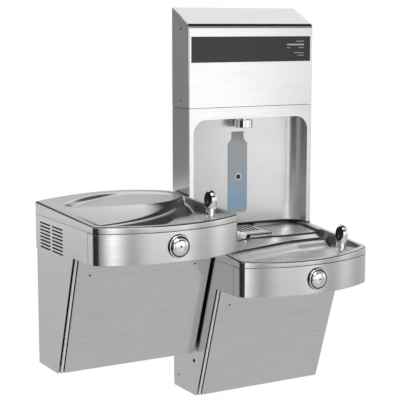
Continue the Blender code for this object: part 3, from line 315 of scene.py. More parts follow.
for side in both:
    origin = unit_at[side]
    top = -SKIRT_DEPTH - SEAM
    foot = -APRON_DROP
    outside = [(CUT_EDGE, top), (0, top - CUT_EDGE)]
    hem = arc((HEM_BEND, foot + HEM_BEND), HEM_BEND, math.pi, math.pi * 1.5, HEM_STEPS)
    turned_in = [(HEM, foot), (HEM, foot + SHEET), (HEM_BEND, foot + SHEET)]
    inside = [(SHEET, foot + HEM_BEND), (SHEET, top)]
    rows = []
    for inset, z in [*outside, *hem, *turned_in, *inside, outside[0]]:
        line = [(inset, -APRON_START), *front_line(inset), (UNIT_WIDTH - inset, -APRON_START)]
        rows.append([origin + Vector((x, y, z)) for x, y in line])
    bm = bmesh.new()
    add_skin(bm, rows)
    bmesh.ops.remove_doubles(bm, verts=bm.verts, dist=WELD)
    ends = [edge for edge in bm.edges if edge.is_boundary]
    bmesh.ops.holes_fill(bm, edges=ends)
    apron = to_object(bm, f"{side}_bowed_apron", 50)
    hole = button_at[side]
    carve(apron, bar("drill", BARREL_HOLE, hole + DRILL_AHEAD, hole + DRILL_BEHIND, HOLE_STEPS))
    fit(apron, upright_steel, "stainless", "fountain", f"{side}_apron")

# Basins: one deep-drawn stainless pressing each. A raised shelf at the wall, a lip, a falling face
# with a splash ridge, a bowl in front and a rim rolled over into the skirt.
ROLL = 0.0050             # radius of the rolled rim
ROLL_STEPS = 8
PRESSING = 0.0016         # thickness of the sheet
SKIRT_EDGE = 0.0006       # rounding of the skirt's foot
WALL_GAP = 0.0010
RIM_FALL = 0.043          # fall of the left rim for each metre away from the wall
RIM_STRIP = 0.012
BOWL_WALL = 0.026
BASIN_ROWS = 220
LEFT_ARCH = 0.016         # left basin: rise of the shelf at mid-width
SHELF_RADIUS = 0.235      # its round lip, about a point near the wall
SHELF_CENTRE_Y = -0.010
DISH = 0.011              # hollow of the shelf, with an oval back edge
DISH_HALF = (0.275, 0.115)
DISH_SHIFT = 0.0565       # the oval's centre right of mid-width
DISH_CENTRE_Y = -0.150
DISH_FADE = (-0.09, 0.06)  # from mid-width, where its depth falls to the share below
DISH_SHALLOW = 0.45
DISH_FLAT = 0.80          # share of the oval inside its sloping edge
DISH_RISE = 0.035         # the hollow rises again to the lip over this distance
LEFT_FACE_LEAST = 0.012   # least width of the falling face
RIDGE_RADIUS = 0.501      # splash ridge of the left basin
RIDGE_SHIFT = -0.2525     # its centre from mid-width
RIDGE_CENTRE_Y = 0.096
RIDGE_DEPTH = 0.021       # ridges of both basins, below the back of the left rim
GROOVE_DEPTH = 0.0055     # groove above the left ridge
GROOVE_WIDTH = 0.011
BOWL_FALL = 0.040         # width of the fall from a ridge to the floor
FLOOR_DEPTH = 0.040
BUBBLER_FLOOR = 0.023
BUBBLER_LEVEL = 0.030
TOWER_DEPTH = 0.109
RIGHT_DECK = 0.016        # right basin: level deck round the tower's foot
RIGHT_RIM_FRONT = (-0.0175, -0.0125)  # its rim at the left and right front corners
RIGHT_LIP = 0.186         # straight lip of its shelf, from the wall
RIGHT_HOLLOW = 0.0095
HOLLOW_EDGE = (0.016, 0.040)  # start and end of the hollow's sloping edge, from the sides
HOLLOW_CORNER = 0.070     # plan radius of its corners
FOOT_LEFT = 0.2995        # foot of its face at the left and right sides, from the wall
FOOT_RIGHT = 0.174
RIDGE_AHEAD = 0.024       # its ridge ahead of that foot
RIGHT_FACE_LEAST = 0.028  # least width of its face
STEP = 0.0050             # steep step at the foot of the face, and the hollow in front of it
STEP_HOLLOW = 0.0030
STEP_RUN = 0.0055
LIP_STEP = 0.0042         # small step down at the lip
LIP_RUN = 0.0060
GRATE_SEAT = 0.0010       # height of the level seat under the grate
SEAT_EDGE = (0.002, 0.040)  # where the seat starts and ends to give way, beside the grate
GRATE_REAR = -0.036       # the grate runs back to the foot of the alcove
STEEP = 0.4               # faces whose normal rises less than this are skirt
EASED = {"interpolation_type": "SMOOTHSTEP"}


def smoothstep(low, high, value):
    """Share from 0 at low to 1 at high, easing in and out."""
    t = min(max((value - low) / (high - low), 0), 1)
    return t * t * (3 - 2 * t)


def middle_of(node, unit):
    """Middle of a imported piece, from its unit's corner."""
    low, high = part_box(node)
    return (low + high) / 2 - unit_at[unit]


BUBBLER = middle_of("left_bubbler_base", "left")
DRAIN = middle_of("left_strainer", "left")
grate_low, grate_high = [corner - unit_at["right"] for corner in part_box("drip_grate")]
grate_high.y = GRATE_REAR


def bowl_floor(x, y):
    """Floor that falls from the bubbler's corner to the drain."""
    reach = math.hypot(BUBBLER.x - DRAIN.x, BUBBLER.y - DRAIN.y)
    away = math.hypot(x - BUBBLER.x, y - BUBBLER.y)
    return -BUBBLER_FLOOR - (FLOOR_DEPTH - BUBBLER_FLOOR) * smoothstep(BUBBLER_LEVEL, reach, away)


def into_rim(x, y, rim, inner):
    """Raise an inner height to the rim along the sides and the front."""
    front = BOW_RADIUS - math.hypot(x - MID, y - BOW_CENTRE_Y)
    share = smoothstep(RIM_STRIP, RIM_STRIP + BOWL_WALL, min(x, UNIT_WIDTH - x, front))
    return rim * (1 - share) + inner * share


def past_ridge(ridge, distance, x, y):
    """Fall from a ridge to the bowl's floor, by the distance past the ridge."""
    fall = smoothstep(0, BOWL_FALL, distance)
    return ridge * (1 - fall) + bowl_floor(x, y) * fall


def left_height(x, y):
    """Arched shelf with an oval hollow and a round lip, whose face falls to a splash ridge and a bowl."""
    arch = LEFT_ARCH * (1 - ((x - MID) / MID) ** 2)
    shelf = RIM_FALL * y + arch
    rim = RIM_FALL * y + arch * max(1 + y / SIDE_DEPTH, 0)
    beyond = math.hypot(x - MID, y - SHELF_CENTRE_Y) - SHELF_RADIUS
    if beyond <= 0:
        across = (x - MID - DISH_SHIFT) / DISH_HALF[0]
        along = max(y - DISH_CENTRE_Y, 0) / DISH_HALF[1]
        hollow = DISH * smoothstep(1, DISH_FLAT, math.hypot(across, along))
        hollow *= 1 - (1 - DISH_SHALLOW) * smoothstep(*DISH_FADE, x - MID)
        return into_rim(x, y, rim, shelf - hollow * min(-beyond / DISH_RISE, 1))
    distance = math.hypot(x - MID - RIDGE_SHIFT, y - RIDGE_CENTRE_Y) - RIDGE_RADIUS
    gap = beyond - distance
    width = (gap + math.hypot(gap, 2 * LEFT_FACE_LEAST)) / 2
    down = min(beyond / width, 1)
    face = shelf * (1 - down) - RIDGE_DEPTH * down
    groove = math.exp(-((beyond - width + GROOVE_WIDTH) / (GROOVE_WIDTH / 2)) ** 2) * GROOVE_DEPTH
    return into_rim(x, y, rim, past_ridge(face - groove, beyond - width, x, y))


def right_rim(x, y):
    """Level deck beside the tower, then a straight fall to the front corners."""
    share = max(-y - TOWER_DEPTH, 0) / (SIDE_DEPTH - TOWER_DEPTH)
    left, right = RIGHT_RIM_FRONT
    return RIGHT_DECK * (1 - share) + (left + (right - left) * x / UNIT_WIDTH) * share


def in_hollow(x, y):
    """Distance inside the right shelf's sides and wall edge, with rounded corners."""
    across = HOLLOW_CORNER - min(x, UNIT_WIDTH - x, HOLLOW_CORNER)
    along = HOLLOW_CORNER - min(-y, HOLLOW_CORNER)
    return HOLLOW_CORNER - math.hypot(across, along)


def right_height(x, y):
    """Hollow shelf with a level seat for the grate and a straight lip, above a bowl across the front."""
    rim = right_rim(x, y)
    shelf_y = max(y, -RIGHT_LIP)
    off_seat = max(grate_low.x - x, x - grate_high.x, shelf_y - grate_high.y, 0)
    seat = 1 - smoothstep(*SEAT_EDGE, off_seat)
    hollow = RIGHT_HOLLOW * smoothstep(*HOLLOW_EDGE, in_hollow(x, shelf_y))
    inner = GRATE_SEAT * seat + (right_rim(x, shelf_y) - hollow) * (1 - seat)
    if y < -RIGHT_LIP:
        foot = FOOT_LEFT + (FOOT_RIGHT - FOOT_LEFT) * x / UNIT_WIDTH
        foot = max(foot, RIGHT_LIP + RIGHT_FACE_LEAST)
        down = min((-y - RIGHT_LIP) / (foot - RIGHT_LIP), 1)
        face = inner * (1 - down) + (STEP - RIDGE_DEPTH) * down
        face -= LIP_STEP * smoothstep(0, LIP_RUN, -y - RIGHT_LIP) * (1 - down)
        face -= (STEP + STEP_HOLLOW) * smoothstep(0, STEP_RUN, -y - foot)
        face += STEP_HOLLOW * smoothstep(STEP_RUN, RIDGE_AHEAD, -y - foot)
        inner = past_ridge(face, -y - foot - RIDGE_AHEAD, x, y)
    return into_rim(x, y, rim, inner)


def rim_ring(origin, height, inset, drop):
    """Closed ring round a basin's edge: left side, front, right side and wall side."""
    back = -WALL_GAP - inset
    front = front_line(inset)
    depth = [back + (front[0][1] - back) * i / BASIN_ROWS for i in range(BASIN_ROWS)]
    left = [(inset, y) for y in depth]
    right = [(UNIT_WIDTH - inset, y) for y in reversed(depth)]
    wall = [(x, back) for x, y in reversed(front[1:-1])]
    ring = []
    for x, y in [*left, *front, *right, *wall]:
        ring.append(origin + Vector((x, y, height(x, y) - drop)))
    return ring


def thicken(piece, thickness):
    """Turn a surface into sheet, behind the side that it shows."""
    shell = piece.modifiers.new("sheet", "SOLIDIFY")
    shell.thickness = thickness
    shell.offset = -1
    settle(piece)


def basin(side, height):
    """Pressing whose top follows a height formula, with its rolled rim and its skirt."""
    origin = unit_at[side]
    bm = bmesh.new()
    front = front_line(ROLL)
    back = -WALL_GAP - ROLL
    rows = []
    for step in range(BASIN_ROWS + 1):
        share = step / BASIN_ROWS
        row = [(x, back + (y - back) * share) for x, y in front]
        rows.append([origin + Vector((x, y, height(x, y))) for x, y in row])
    add_skin(bm, rows)
    rings = []
    for i in range(ROLL_STEPS + 1):
        turn = math.pi / 2 * i / ROLL_STEPS
        rings.append(rim_ring(origin, height, ROLL * (1 - math.sin(turn)), ROLL * (1 - math.cos(turn))))
    foot = origin.z - SKIRT_DEPTH
    rings.append([Vector((p.x, p.y, foot + SKIRT_EDGE)) for p in rings[-1]])
    rings.append([Vector((p.x, p.y, foot)) for p in rim_ring(origin, height, SKIRT_EDGE, 0)])
    add_skin(bm, rings, loop=True)
    bmesh.ops.remove_doubles(bm, verts=bm.verts, dist=WELD)
    made = to_object(bm, f"{side}_pressed_basin", 60)
    if sum(face.normal.z * face.area for face in made.data.polygons) < 0:
        made.data.flip_normals()
    thicken(made, PRESSING)
    return made


def darken(material, share, colour):
    """Paint shade into a finish: turn it towards a darker colour, by a share worked out in its tree."""
    tree = material.node_tree
    shader = tree.nodes["Principled BSDF"]
    plain = shader.inputs["Base Color"].links[0].from_socket
    drawn = add(tree, "ShaderNodeMix", COLOURS, in_0=share, in_6=plain, in_7=linear(colour))
    feed(tree, shader, Base_Color=drawn.outputs[2])


def normal_of(tree):
    """Node with the three parts of a surface's normal."""
    return add(tree, "ShaderNodeSeparateXYZ", Vector=add(tree, "ShaderNodeNewGeometry").outputs["Normal"])


def pressed_steel(name, dark, light, smooth, rough, *leans):
    """Brushed steel with painted shade on slopes, given by the normal's axis and where the shade starts and
    is full.
    """
    material = brushed_stainless(name, (BRUSH_LONG, BRUSH_FINE, BRUSH_FINE * 3), dark, light, smooth, rough)
    tree = material.node_tree
    normal = normal_of(tree)
    slope = 0.0
    for axis, start, end in leans:
        share = add(tree, "ShaderNodeMapRange", EASED, in_0=normal.outputs[axis], in_1=start, in_2=end)
        slope = add(tree, "ShaderNodeMath", {"operation": "MAXIMUM"}, in_0=share, in_1=slope)
    # painted shade: the slopes turn towards this dark grey
    darken(material, slope, "#545454")
    return material


def face_paint(piece, material, picks):
    """Give a second material to the faces that a test picks."""
    piece.data.materials.append(material)
    for polygon in piece.data.polygons:
        polygon.material_index = 1 if picks(polygon) else 0


# Drawn and brushed stainless: pale satin, with painted shade on the slopes that would mirror the dim side of
# a room.
right_wall = ("X", -0.20, -0.55)
left_basin_steel = pressed_steel("left_basin_steel", "#e4e4e4", "#eeeeee", 0.28, 0.34,
                                 right_wall, ("X", 0.05, 0.24), ("Y", -0.33, -0.48))
right_basin_steel = pressed_steel("right_basin_steel", "#e6e6e6", "#f0f0f0", 0.33, 0.39,
                                  right_wall, ("Y", -0.56, -0.72))
basin_steel = {"left": left_basin_steel, "right": right_basin_steel}
for side, height in (("left", left_height), ("right", right_height)):
    pressing = basin(side, height)
    fit(pressing, basin_steel[side], "stainless", "fountain", f"{side}_basin")
    face_paint(pressing, upright_steel, lambda face: abs(face.normal.z) < STEEP)

# Push buttons: a chromed domed button inside a chromed ring on the apron, with a small dimple.
# Turned and plated, so they mirror the room; the button slides into the ring.
BEZEL_RADIUS = 0.0345
BEZEL_PROUD = 0.007
BEZEL_CREST = 0.0035      # radius of the ring's round top
BEZEL_EDGE = 0.0012       # rounding of its outer edge
BEZEL_WALL = 0.0016       # height of its upright outer side
BEZEL_SEAT = 0.0002       # clear of the apron
BARREL_RADIUS = 0.0299    # the ring's barrel, through the apron
BARREL_DEPTH = 0.012
CREST_STEPS = 14
EDGE_STEPS = 4
# Inside these radii the ring keeps bright chrome; elsewhere it has painted dark reflection.
RING_BRIGHT = (0.0300, 0.0334)  # radii of the ring's polished outer slope
BUTTON_RADIUS = 0.0262
BUTTON_GAP = 0.0006       # between button and ring
BUTTON_RIM = 0.006
BUTTON_DOME = 0.007
BUTTON_BACK = 0.002
BUTTON_EDGE = 0.0005      # rounding of its back
DOME_INSET = 0.0008       # bevel between its side and its dome
DOME_BELOW = 0.0006
DOME_STEPS = 24
STEM_RADIUS = 0.0045
STEM_LENGTH = 0.038
DIMPLE = 0.0035
DIMPLE_SIDE = ((1.0, 0.0002), (0.8, 0.0008), (0.7, 0.0025), (0.0, 0.0025))  # share of radius, and depth
DOT_SIDE = ((0.0, 0.0022), (0.69, 0.0022), (0.69, 0.0018), (0.0, 0.0016))   # the same for the dark dot
DOT_STEPS = 24


def turned(name, profile, steps=64):
    """Solid turned about Z from (radius, height) points, up its outer side."""
    bm = bmesh.new()
    rows = []
    for radius, height in profile:
        turns = [2 * math.pi * i / steps for i in range(steps)]
        rows.append([(radius * math.cos(t), radius * math.sin(t), height) for t in turns])
    add_skin(bm, rows, loop=True)
    bmesh.ops.remove_doubles(bm, verts=bm.verts, dist=WELD)
    return to_object(bm, name, 35)


def stand(piece, place, angle=0.0, axis="Z"):
    """Turn a piece's mesh and move it to its place, so that its object stays at the origin."""
    piece.data.transform(Matrix.Translation(place) @ Matrix.Rotation(angle, 4, axis))
    return piece


FACE_FRONT = (math.pi / 2, "X")
# Plated and polished: crisp bright reflections.
chrome = plain_finish("polished_chrome", "#dfe1e3", "#eceef0", 1.0, 0.04, 0.09, 9)
# Plated and lightly polished: bright, with softer reflections.
satin_chrome = plain_finish("satin_chrome", "#e6e8ea", "#f2f4f6", 1.0, 0.10, 0.14, 9)
# Plated, with painted reflection: chrome darkened where the ring would mirror the dim room, all but its outer
# slope.
chrome_painted_dark = plain_finish("darkened_ring_chrome", "#48494b", "#5a5b5d", 1.0, 0.06, 0.11, 9)
# Bottom of the dimple, where no light comes back: black without a gleam.
dark_dot = plain_finish("dimple_shadow", "#060606", "#0e0e0e", 0.0, 0.4, 0.5, 2, gleam=0)
for side in both:
    middle = button_at[side]
    bore = BUTTON_RADIUS + BUTTON_GAP
    crest = arc((bore + BEZEL_CREST, BEZEL_PROUD - BEZEL_CREST), BEZEL_CREST, math.pi, 0, CREST_STEPS)
    rim = arc((BEZEL_RADIUS - BEZEL_EDGE, BEZEL_WALL), BEZEL_EDGE, math.pi / 2, 0, EDGE_STEPS)
    seat = [(BEZEL_RADIUS, BEZEL_SEAT), (BARREL_RADIUS, BEZEL_SEAT), (BARREL_RADIUS, -BARREL_DEPTH)]
    ring = [(bore, -BARREL_DEPTH), *crest, *rim, *seat, (bore, -BARREL_DEPTH)]
    bezel = stand(turned(f"{side}_chromed_ring", ring), middle, *FACE_FRONT)
    # the ring takes the painted dark reflection, and its outer slope bright chrome
    fit(bezel, chrome_painted_dark, "chrome", "fountain", f"{side}_button_bezel")
    face_paint(bezel, chrome, lambda face: RING_BRIGHT[0] < (face.center - middle).xz.length < RING_BRIGHT[1])
    crown = BUTTON_BACK + BUTTON_RIM
    top = crown + BUTTON_DOME
    edge = BUTTON_RADIUS - DOME_INSET
    turns = [math.pi / 2 * i / DOME_STEPS for i in range(DOME_STEPS)]
    dome = [(edge * math.cos(t), crown + BUTTON_DOME * math.sin(t)) for t in turns]
    dome = [point for point in dome if point[0] > DIMPLE]
    dimple = [(DIMPLE * share, top - depth) for share, depth in DIMPLE_SIDE]
    stem = [(0, -STEM_LENGTH), (STEM_RADIUS, -STEM_LENGTH), (STEM_RADIUS, BUTTON_BACK)]
    drum = [(BUTTON_RADIUS - BUTTON_EDGE, BUTTON_BACK), (BUTTON_RADIUS, BUTTON_BACK + BUTTON_EDGE),
            (BUTTON_RADIUS, crown - DOME_BELOW)]
    button = stand(turned(f"{side}_domed_button", [*stem, *drum, *dome, *dimple]), middle, *FACE_FRONT)
    fit(button, satin_chrome, "chrome", f"{side}_button", f"{side}_button")
    disc = [(DIMPLE * share, top - depth) for share, depth in DOT_SIDE]
    dot = stand(turned(f"{side}_button_dot", disc, DOT_STEPS), middle, *FACE_FRONT)
    fit(dot, dark_dot, "black_plastic", f"{side}_button")

# Button springs: coils of bright wire round the buttons' stems, held between a button's back and the
# floor of its ring. Here they keep one shape; the real ones flatten as the buttons are pressed.
SPRING_TURNS = 4
SPRING_WIRE = 0.00075     # radius of the wire
WIRE_STEPS = 8
SPRING_POINTS = 24        # to each turn
# Drawn spring steel: mid grey with a dull gleam.
spring_wire = plain_finish("spring_wire", "#8d8d8b", "#b9b9b7", 1.0, 0.25, 0.35, 2)
for side in both:
    low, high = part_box(f"{side}_button_spring")
    middle = (low + high) / 2
    coil_radius = (high.x - low.x) / 2 - SPRING_WIRE
    length = high.y - low.y
    count = SPRING_TURNS * SPRING_POINTS
    rows = []
    for i in range(count + 1):
        turn = 2 * math.pi * i / SPRING_POINTS
        along = low.y + SPRING_WIRE + (length - 2 * SPRING_WIRE) * i / count
        section = arc((coil_radius, along), SPRING_WIRE, 0, 2 * math.pi, WIRE_STEPS)[:-1]
        rows.append([(middle.x + reach * math.cos(turn), y, middle.z + reach * math.sin(turn))
                     for reach, y in section])
    bm = bmesh.new()
    grid = add_skin(bm, rows, loop=True)
    bm.faces.new(grid[0])
    bm.faces.new(grid[-1])
    coil = to_object(bm, f"{side}_return_spring", 60)
    fit(coil, spring_wire, "spring_steel", "fountain", f"{side}_button_spring")
    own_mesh(coil)

# Bubblers: a chromed hooded spout on a round base with a flange, screwed through the bowl.
# Cast, polished and plated; the hood is open towards the bowl and dark inside.
HOOD_TOP = 0.079          # above the bowl floor
HOOD_WAIST = 0.026        # joint between base and hood
HOOD_JOINT = 0.0006       # width of that joint
HOOD_RADIUS = 0.0195
HOOD_FOOT = 0.86          # girth of the hood's foot against its widest part
HOOD_SWELL = 0.42         # height of its widest part, as a share of the hood's height
HOOD_STEPS = 40
MOUTH_HALF = Vector((0.0170, 0.0150, 0.0225))
MOUTH_AT = Vector((0.0165, 0, HOOD_WAIST + 0.026))
MOUTH_STEPS = (40, 24)
MOUTH_SKIN = 1.03         # faces within this share of the mouth's oval, squared, are its wall
BUBBLER_AIM = math.radians(200)
BASE_FLANGE = ((0, -0.010), (0.0165, -0.010), (0.0165, 0.0015), (0.0155, 0.0025))  # radius and height
BASE_WAIST = ((0.0158, 0.0032), (0.0156, 0.0060))
BASE_COLLAR = ((0.0160, -0.0040), (0.0167, -0.0020), (0.0165, 0), (0, 0))  # height from the base's top
# Inside of the spout, out of the light: near black.
dark_mouth = plain_finish("unlit_spout_mouth", "#0b0b0c", "#141415", 0.0, 0.35, 0.5, 3)


def in_mouth(face):
    """Whether a face of a hood lies on the wall of its mouth."""
    offset = face.center - MOUTH_AT
    return sum((offset[i] / MOUTH_HALF[i]) ** 2 for i in range(3)) < MOUTH_SKIN


for side in both:
    spot = unit_at[side] + Vector((BUBBLER.x, BUBBLER.y, -BUBBLER_FLOOR))
    neck = HOOD_WAIST - HOOD_JOINT
    collar = [(radius, neck + height) for radius, height in BASE_COLLAR]
    base = stand(turned(f"{side}_spout_base", [*BASE_FLANGE, *BASE_WAIST, *collar]), spot)
    fit(base, chrome, "chrome", "fountain", f"{side}_bubbler_base")
    rise = HOOD_TOP - HOOD_WAIST
    outline = [(0, HOOD_WAIST)]
    for i in range(HOOD_STEPS + 1):
        t = i / HOOD_STEPS
        crown = math.sqrt(1 - max((t - HOOD_SWELL) / (1 - HOOD_SWELL), 0) ** 2)
        girth = crown * (HOOD_FOOT + (1 - HOOD_FOOT) * smoothstep(0, HOOD_SWELL, t))
        outline.append((HOOD_RADIUS * girth, HOOD_WAIST + rise * t))
    hood = turned(f"{side}_spout_hood", outline)
    bm = bmesh.new()
    bmesh.ops.create_uvsphere(bm, u_segments=MOUTH_STEPS[0], v_segments=MOUTH_STEPS[1], radius=1)
    bmesh.ops.scale(bm, vec=MOUTH_HALF, verts=bm.verts)
    carve(hood, stand(to_object(bm, "mouth"), MOUTH_AT))
    fit(hood, chrome, "chrome", "fountain", f"{side}_bubbler_hood")
    face_paint(hood, dark_mouth, in_mouth)
    stand(hood, spot, BUBBLER_AIM)

# Strainers: pierced chromed discs over the drains, pressed in flush with the bowl floor.
# They keep the form they were built with.
dress(chrome, "left_strainer", "right_strainer")

# Drip grate: a slotted stainless plate set in a low folded frame, standing on the right basin's shelf
# under the filling nozzle, with a black drip tray below the slots that is painted shade seen through them.
GRATE_SLOTS = 5
GRATE_SLOT = Vector((0.0090, 0.096, 0.012))
GRATE_PITCH = 0.0155
SLOT_TURN = math.radians(-10)
GRATE_SLOT_SHIFT = 0.016  # slots towards the wall from the plate's middle
GRATE_GAP = 0.0020        # open joint between the plate and its frame
GRATE_TRAY = 0.0028       # tray below the top of the frame
TRAY_GAP = 0.0003         # tray inside the frame
FRAME_EDGE = 0.0006       # rounding of the frame and the tray
PLATE_EDGE = 0.0005       # rounding of the plate and of the frame's inside
FRAME_CUT = Vector((0, 0, 0.01))  # cutter past the frame's top and foot
FRONT_SLIT = (0.0028, 0.0075)  # slit along the frame's front, below its top
SLIT_ENDS = 0.003         # slit short of the frame's ends
SLIT_AHEAD = 0.005        # cutter from before the front to just through its sheet
SLIT_BEHIND = 0.0016
SLIT_EDGE = 0.0004
FINGER_NOTCH = 0.0085     # radius of the notch at the left front corner
NOTCH_IN = Vector((0.002, 0, 0.002))
NOTCH_AHEAD = Vector((0, -0.01, 0))
NOTCH_BEHIND = Vector((0, 0.006, 0))
SLOT_ROOM = Vector((0.001, 0.001, 0))  # faces this far round the plate belong to it
SLOT_DEPTH = Vector((0, 0, 0.01))
SLOT_UPRIGHT = 0.3        # faces whose normal rises less than this are walls of openings


def box_between(bm, low, high):
    """Add a box by two of its corners."""
    made = bmesh.ops.create_cube(bm, size=1)["verts"]
    bmesh.ops.scale(bm, vec=high - low, verts=made)
    bmesh.ops.translate(bm, vec=(high + low) / 2, verts=made)


def soft_box(name, low, high, edge):
    """Box with slightly rounded edges."""
    bm = bmesh.new()
    box_between(bm, low, high)
    bmesh.ops.bevel(bm, geom=bm.edges, offset=edge, segments=3, affect="EDGES")
    return to_object(bm, name)


def inwards(distance):
    """Step in from a box's sides, front and back."""
    return Vector((distance, distance, 0))


on_shelf = unit_at["right"]
frame_low = on_shelf + grate_low
frame_high = on_shelf + grate_high
grate = soft_box("slotted_drip_grate", frame_low, frame_high, FRAME_EDGE)
step_in = inwards(SHEET)
hollow_low = frame_low + step_in - FRAME_CUT
hollow_high = frame_high - step_in + FRAME_CUT
carve(grate, soft_box("frame_inside", hollow_low, hollow_high, PLATE_EDGE))
notch = frame_low + NOTCH_IN
carve(grate, bar("notch", FINGER_NOTCH, notch + NOTCH_AHEAD, notch + NOTCH_BEHIND))
slit_low = Vector((frame_low.x + SLIT_ENDS, frame_low.y - SLIT_AHEAD, frame_high.z - FRONT_SLIT[1]))
slit_high = Vector((frame_high.x - SLIT_ENDS, frame_low.y + SLIT_BEHIND, frame_high.z - FRONT_SLIT[0]))
carve(grate, soft_box("slit", slit_low, slit_high, SLIT_EDGE))
step_in = inwards(SHEET + GRATE_GAP)
plate_low = Vector((frame_low.x, frame_low.y, frame_high.z - 1.5 * SHEET)) + step_in
plate_high = frame_high - step_in - Vector((0, 0, SHEET / 2))
plate = soft_box("plate", plate_low, plate_high, PLATE_EDGE)
plate_middle = (plate_low + plate_high) / 2
bm = bmesh.new()
for i in range(GRATE_SLOTS):
    across = Vector((GRATE_PITCH * (i - (GRATE_SLOTS - 1) / 2), GRATE_SLOT_SHIFT, 0))
    turn = Matrix.Translation(plate_middle + across) @ Matrix.Rotation(SLOT_TURN, 4, "Z")
    bmesh.ops.create_cube(bm, size=1, matrix=turn @ Matrix.Diagonal((*GRATE_SLOT, 1)))
carve(plate, to_object(bm, "slots"))
carve(grate, plate, "UNION")
# Brushed and then polished stainless: lighter and glossier than the shelf.
grate_grain = (BRUSH_LONG, BRUSH_FINE, BRUSH_FINE)
grate_steel = brushed_stainless("grate_steel", grate_grain, "#e6e6e6", "#f0f0f0", 0.12, 0.16)
fit(grate, grate_steel, "stainless", "fountain", "drip_grate")
# Black without a gleam: painted shade on the walls of the grate's slots and on the tray below them, and the
# hole plugs' black plastic.
black_plastic_and_slot_shade = plain_finish("black_plastic_slot_shade", "#0c0c0c", "#161616", 0.0, 0.45, 0.6, 4, gleam=0)
inner_low = plate_low - SLOT_ROOM - SLOT_DEPTH
inner_high = plate_high + SLOT_ROOM


def in_slots(face):
    """Whether a face is a wall of the plate's openings, which take painted shade."""
    within = all(inner_low[i] < face.center[i] < inner_high[i] for i in range(3))
    return within and abs(face.normal.z) < SLOT_UPRIGHT


face_paint(grate, black_plastic_and_slot_shade, in_slots)
# The tray below the slots is black as painted shade.
step_in = inwards(SHEET + TRAY_GAP)
tray_high = frame_high - step_in - Vector((0, 0, GRATE_TRAY))
tray = soft_box("drip_tray_slot_shade", frame_low + step_in, tray_high, FRAME_EDGE)
fit(tray, black_plastic_and_slot_shade, "black_plastic", "fountain")

# Tower covers: a lower wrapper with the arched alcove opening and an upper hood with a sloping top,
# both folded from stainless sheet, meeting in a fine seam.
TOWER_FRONT_TOP = 0.674   # where the front and the sloping top would meet
TOWER_BEND = 0.018        # bend between them
BEND_STEPS = 18
# The bend's dark band is painted shade, set by these rises of the normal.
BEND_STARTS = (0.10, 0.45)  # rise of the normal where the bend's shade starts and is full
BEND_ENDS = (0.88, 0.70)  # and where it has gone again and is still full
FOLD = 0.0022             # outer radius of the folds at the sides
FOLD_STEPS = 4
FOLD_ANGLE = math.radians(70)  # edges sharper than this are folds
FACING = 0.9              # share of a normal that counts as facing one way
ALCOVE_MARGIN = 0.0165
ALCOVE_CORNER = 0.045
ALCOVE_STEPS = 16
ALCOVE_CUT = 0.03         # cutter's reach on both sides of the front
DISPLAY_CUT = Vector((0.0003, 0.02, 0.0003))  # gap round the display, and the cutter's reach
TO_WALL = Vector((0, 1, 0))
UP = Vector((0, 0, 1))
tower = unit_at["right"]
hood_low, hood_high = [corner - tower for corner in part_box("tower_hood")]
wrap_low, wrap_high = [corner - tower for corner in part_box("tower_wrapper")]
panel_low, panel_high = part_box("display_panel")
liner_low, liner_high = [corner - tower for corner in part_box("alcove_liner")]
ALCOVE_TOP = liner_high.z - 2 * SHEET


def sheet_cover(name, profile, open_sides):
    """Sheet cover extruded along X from a (y, z) outline, its side folds rounded."""
    bm = bmesh.new()
    face = bm.faces.new([bm.verts.new(tower + Vector((0, y, z))) for y, z in profile])
    made = bmesh.ops.extrude_face_region(bm, geom=[face])["geom"]
    far_end = [item for item in made if isinstance(item, bmesh.types.BMVert)]
    bmesh.ops.translate(bm, vec=(UNIT_WIDTH, 0, 0), verts=far_end)
    bmesh.ops.recalc_face_normals(bm, faces=bm.faces)
    bm.normal_update()
    gone = [item for item in bm.faces if any(item.normal.dot(way) > FACING for way in open_sides)]
    bmesh.ops.delete(bm, geom=gone, context="FACES")
    inner = [edge for edge in bm.edges if len(edge.link_faces) == 2]
    folds = [edge for edge in inner if edge.calc_face_angle() > FOLD_ANGLE]
    bmesh.ops.bevel(bm, geom=folds, offset=FOLD, segments=FOLD_STEPS, affect="EDGES")
    cover = to_object(bm, name)
    if min(cover.data.polygons, key=lambda item: item.center.y).normal.y > 0:
        cover.data.flip_normals()
    thicken(cover, SHEET)
    return cover


slope = math.atan2(hood_high.z - TOWER_FRONT_TOP, hood_high.y - hood_low.y)
turn = math.pi / 2 - slope
bend_at = (hood_low.y + TOWER_BEND, TOWER_FRONT_TOP - TOWER_BEND * math.tan(turn / 2))
bend = arc(bend_at, TOWER_BEND, math.pi, math.pi - turn, BEND_STEPS)
seam_z = hood_low.z + SEAM / 2
profile = [(hood_low.y, seam_z), *bend, (hood_high.y, hood_high.z), (hood_high.y, seam_z)]
hood = sheet_cover("tower_top_cover", profile, (TO_WALL, -UP))
for vertex in hood.data.vertices:
    vertex.co.y = min(vertex.co.y, hood_high.y)
bm = bmesh.new()
box_between(bm, panel_low - DISPLAY_CUT, panel_high + DISPLAY_CUT)
carve(hood, to_object(bm, "display_opening"))
# Sheet brushed before it was bent: as the panels, with a painted dark band of shade where the bend would
# mirror the ceiling.
bent_steel = brushed_stainless("brushed_stainless_bent", UPRIGHT_GRAIN, "#e0e0e0", "#e6e6e6", 0.19, 0.21)
tree = bent_steel.node_tree
lean = normal_of(tree).outputs["Z"]
onto = add(tree, "ShaderNodeMapRange", EASED, in_0=lean, in_1=BEND_STARTS[0], in_2=BEND_STARTS[1])
off = add(tree, "ShaderNodeMapRange", EASED, in_0=lean, in_1=BEND_ENDS[0], in_2=BEND_ENDS[1])
bent = add(tree, "ShaderNodeMath", {"operation": "MULTIPLY"}, in_0=onto, in_1=off)
# painted shade on the bend
darken(bent_steel, bent, "#4c4c4c")
fit(hood, bent_steel, "stainless", "fountain", "tower_hood")

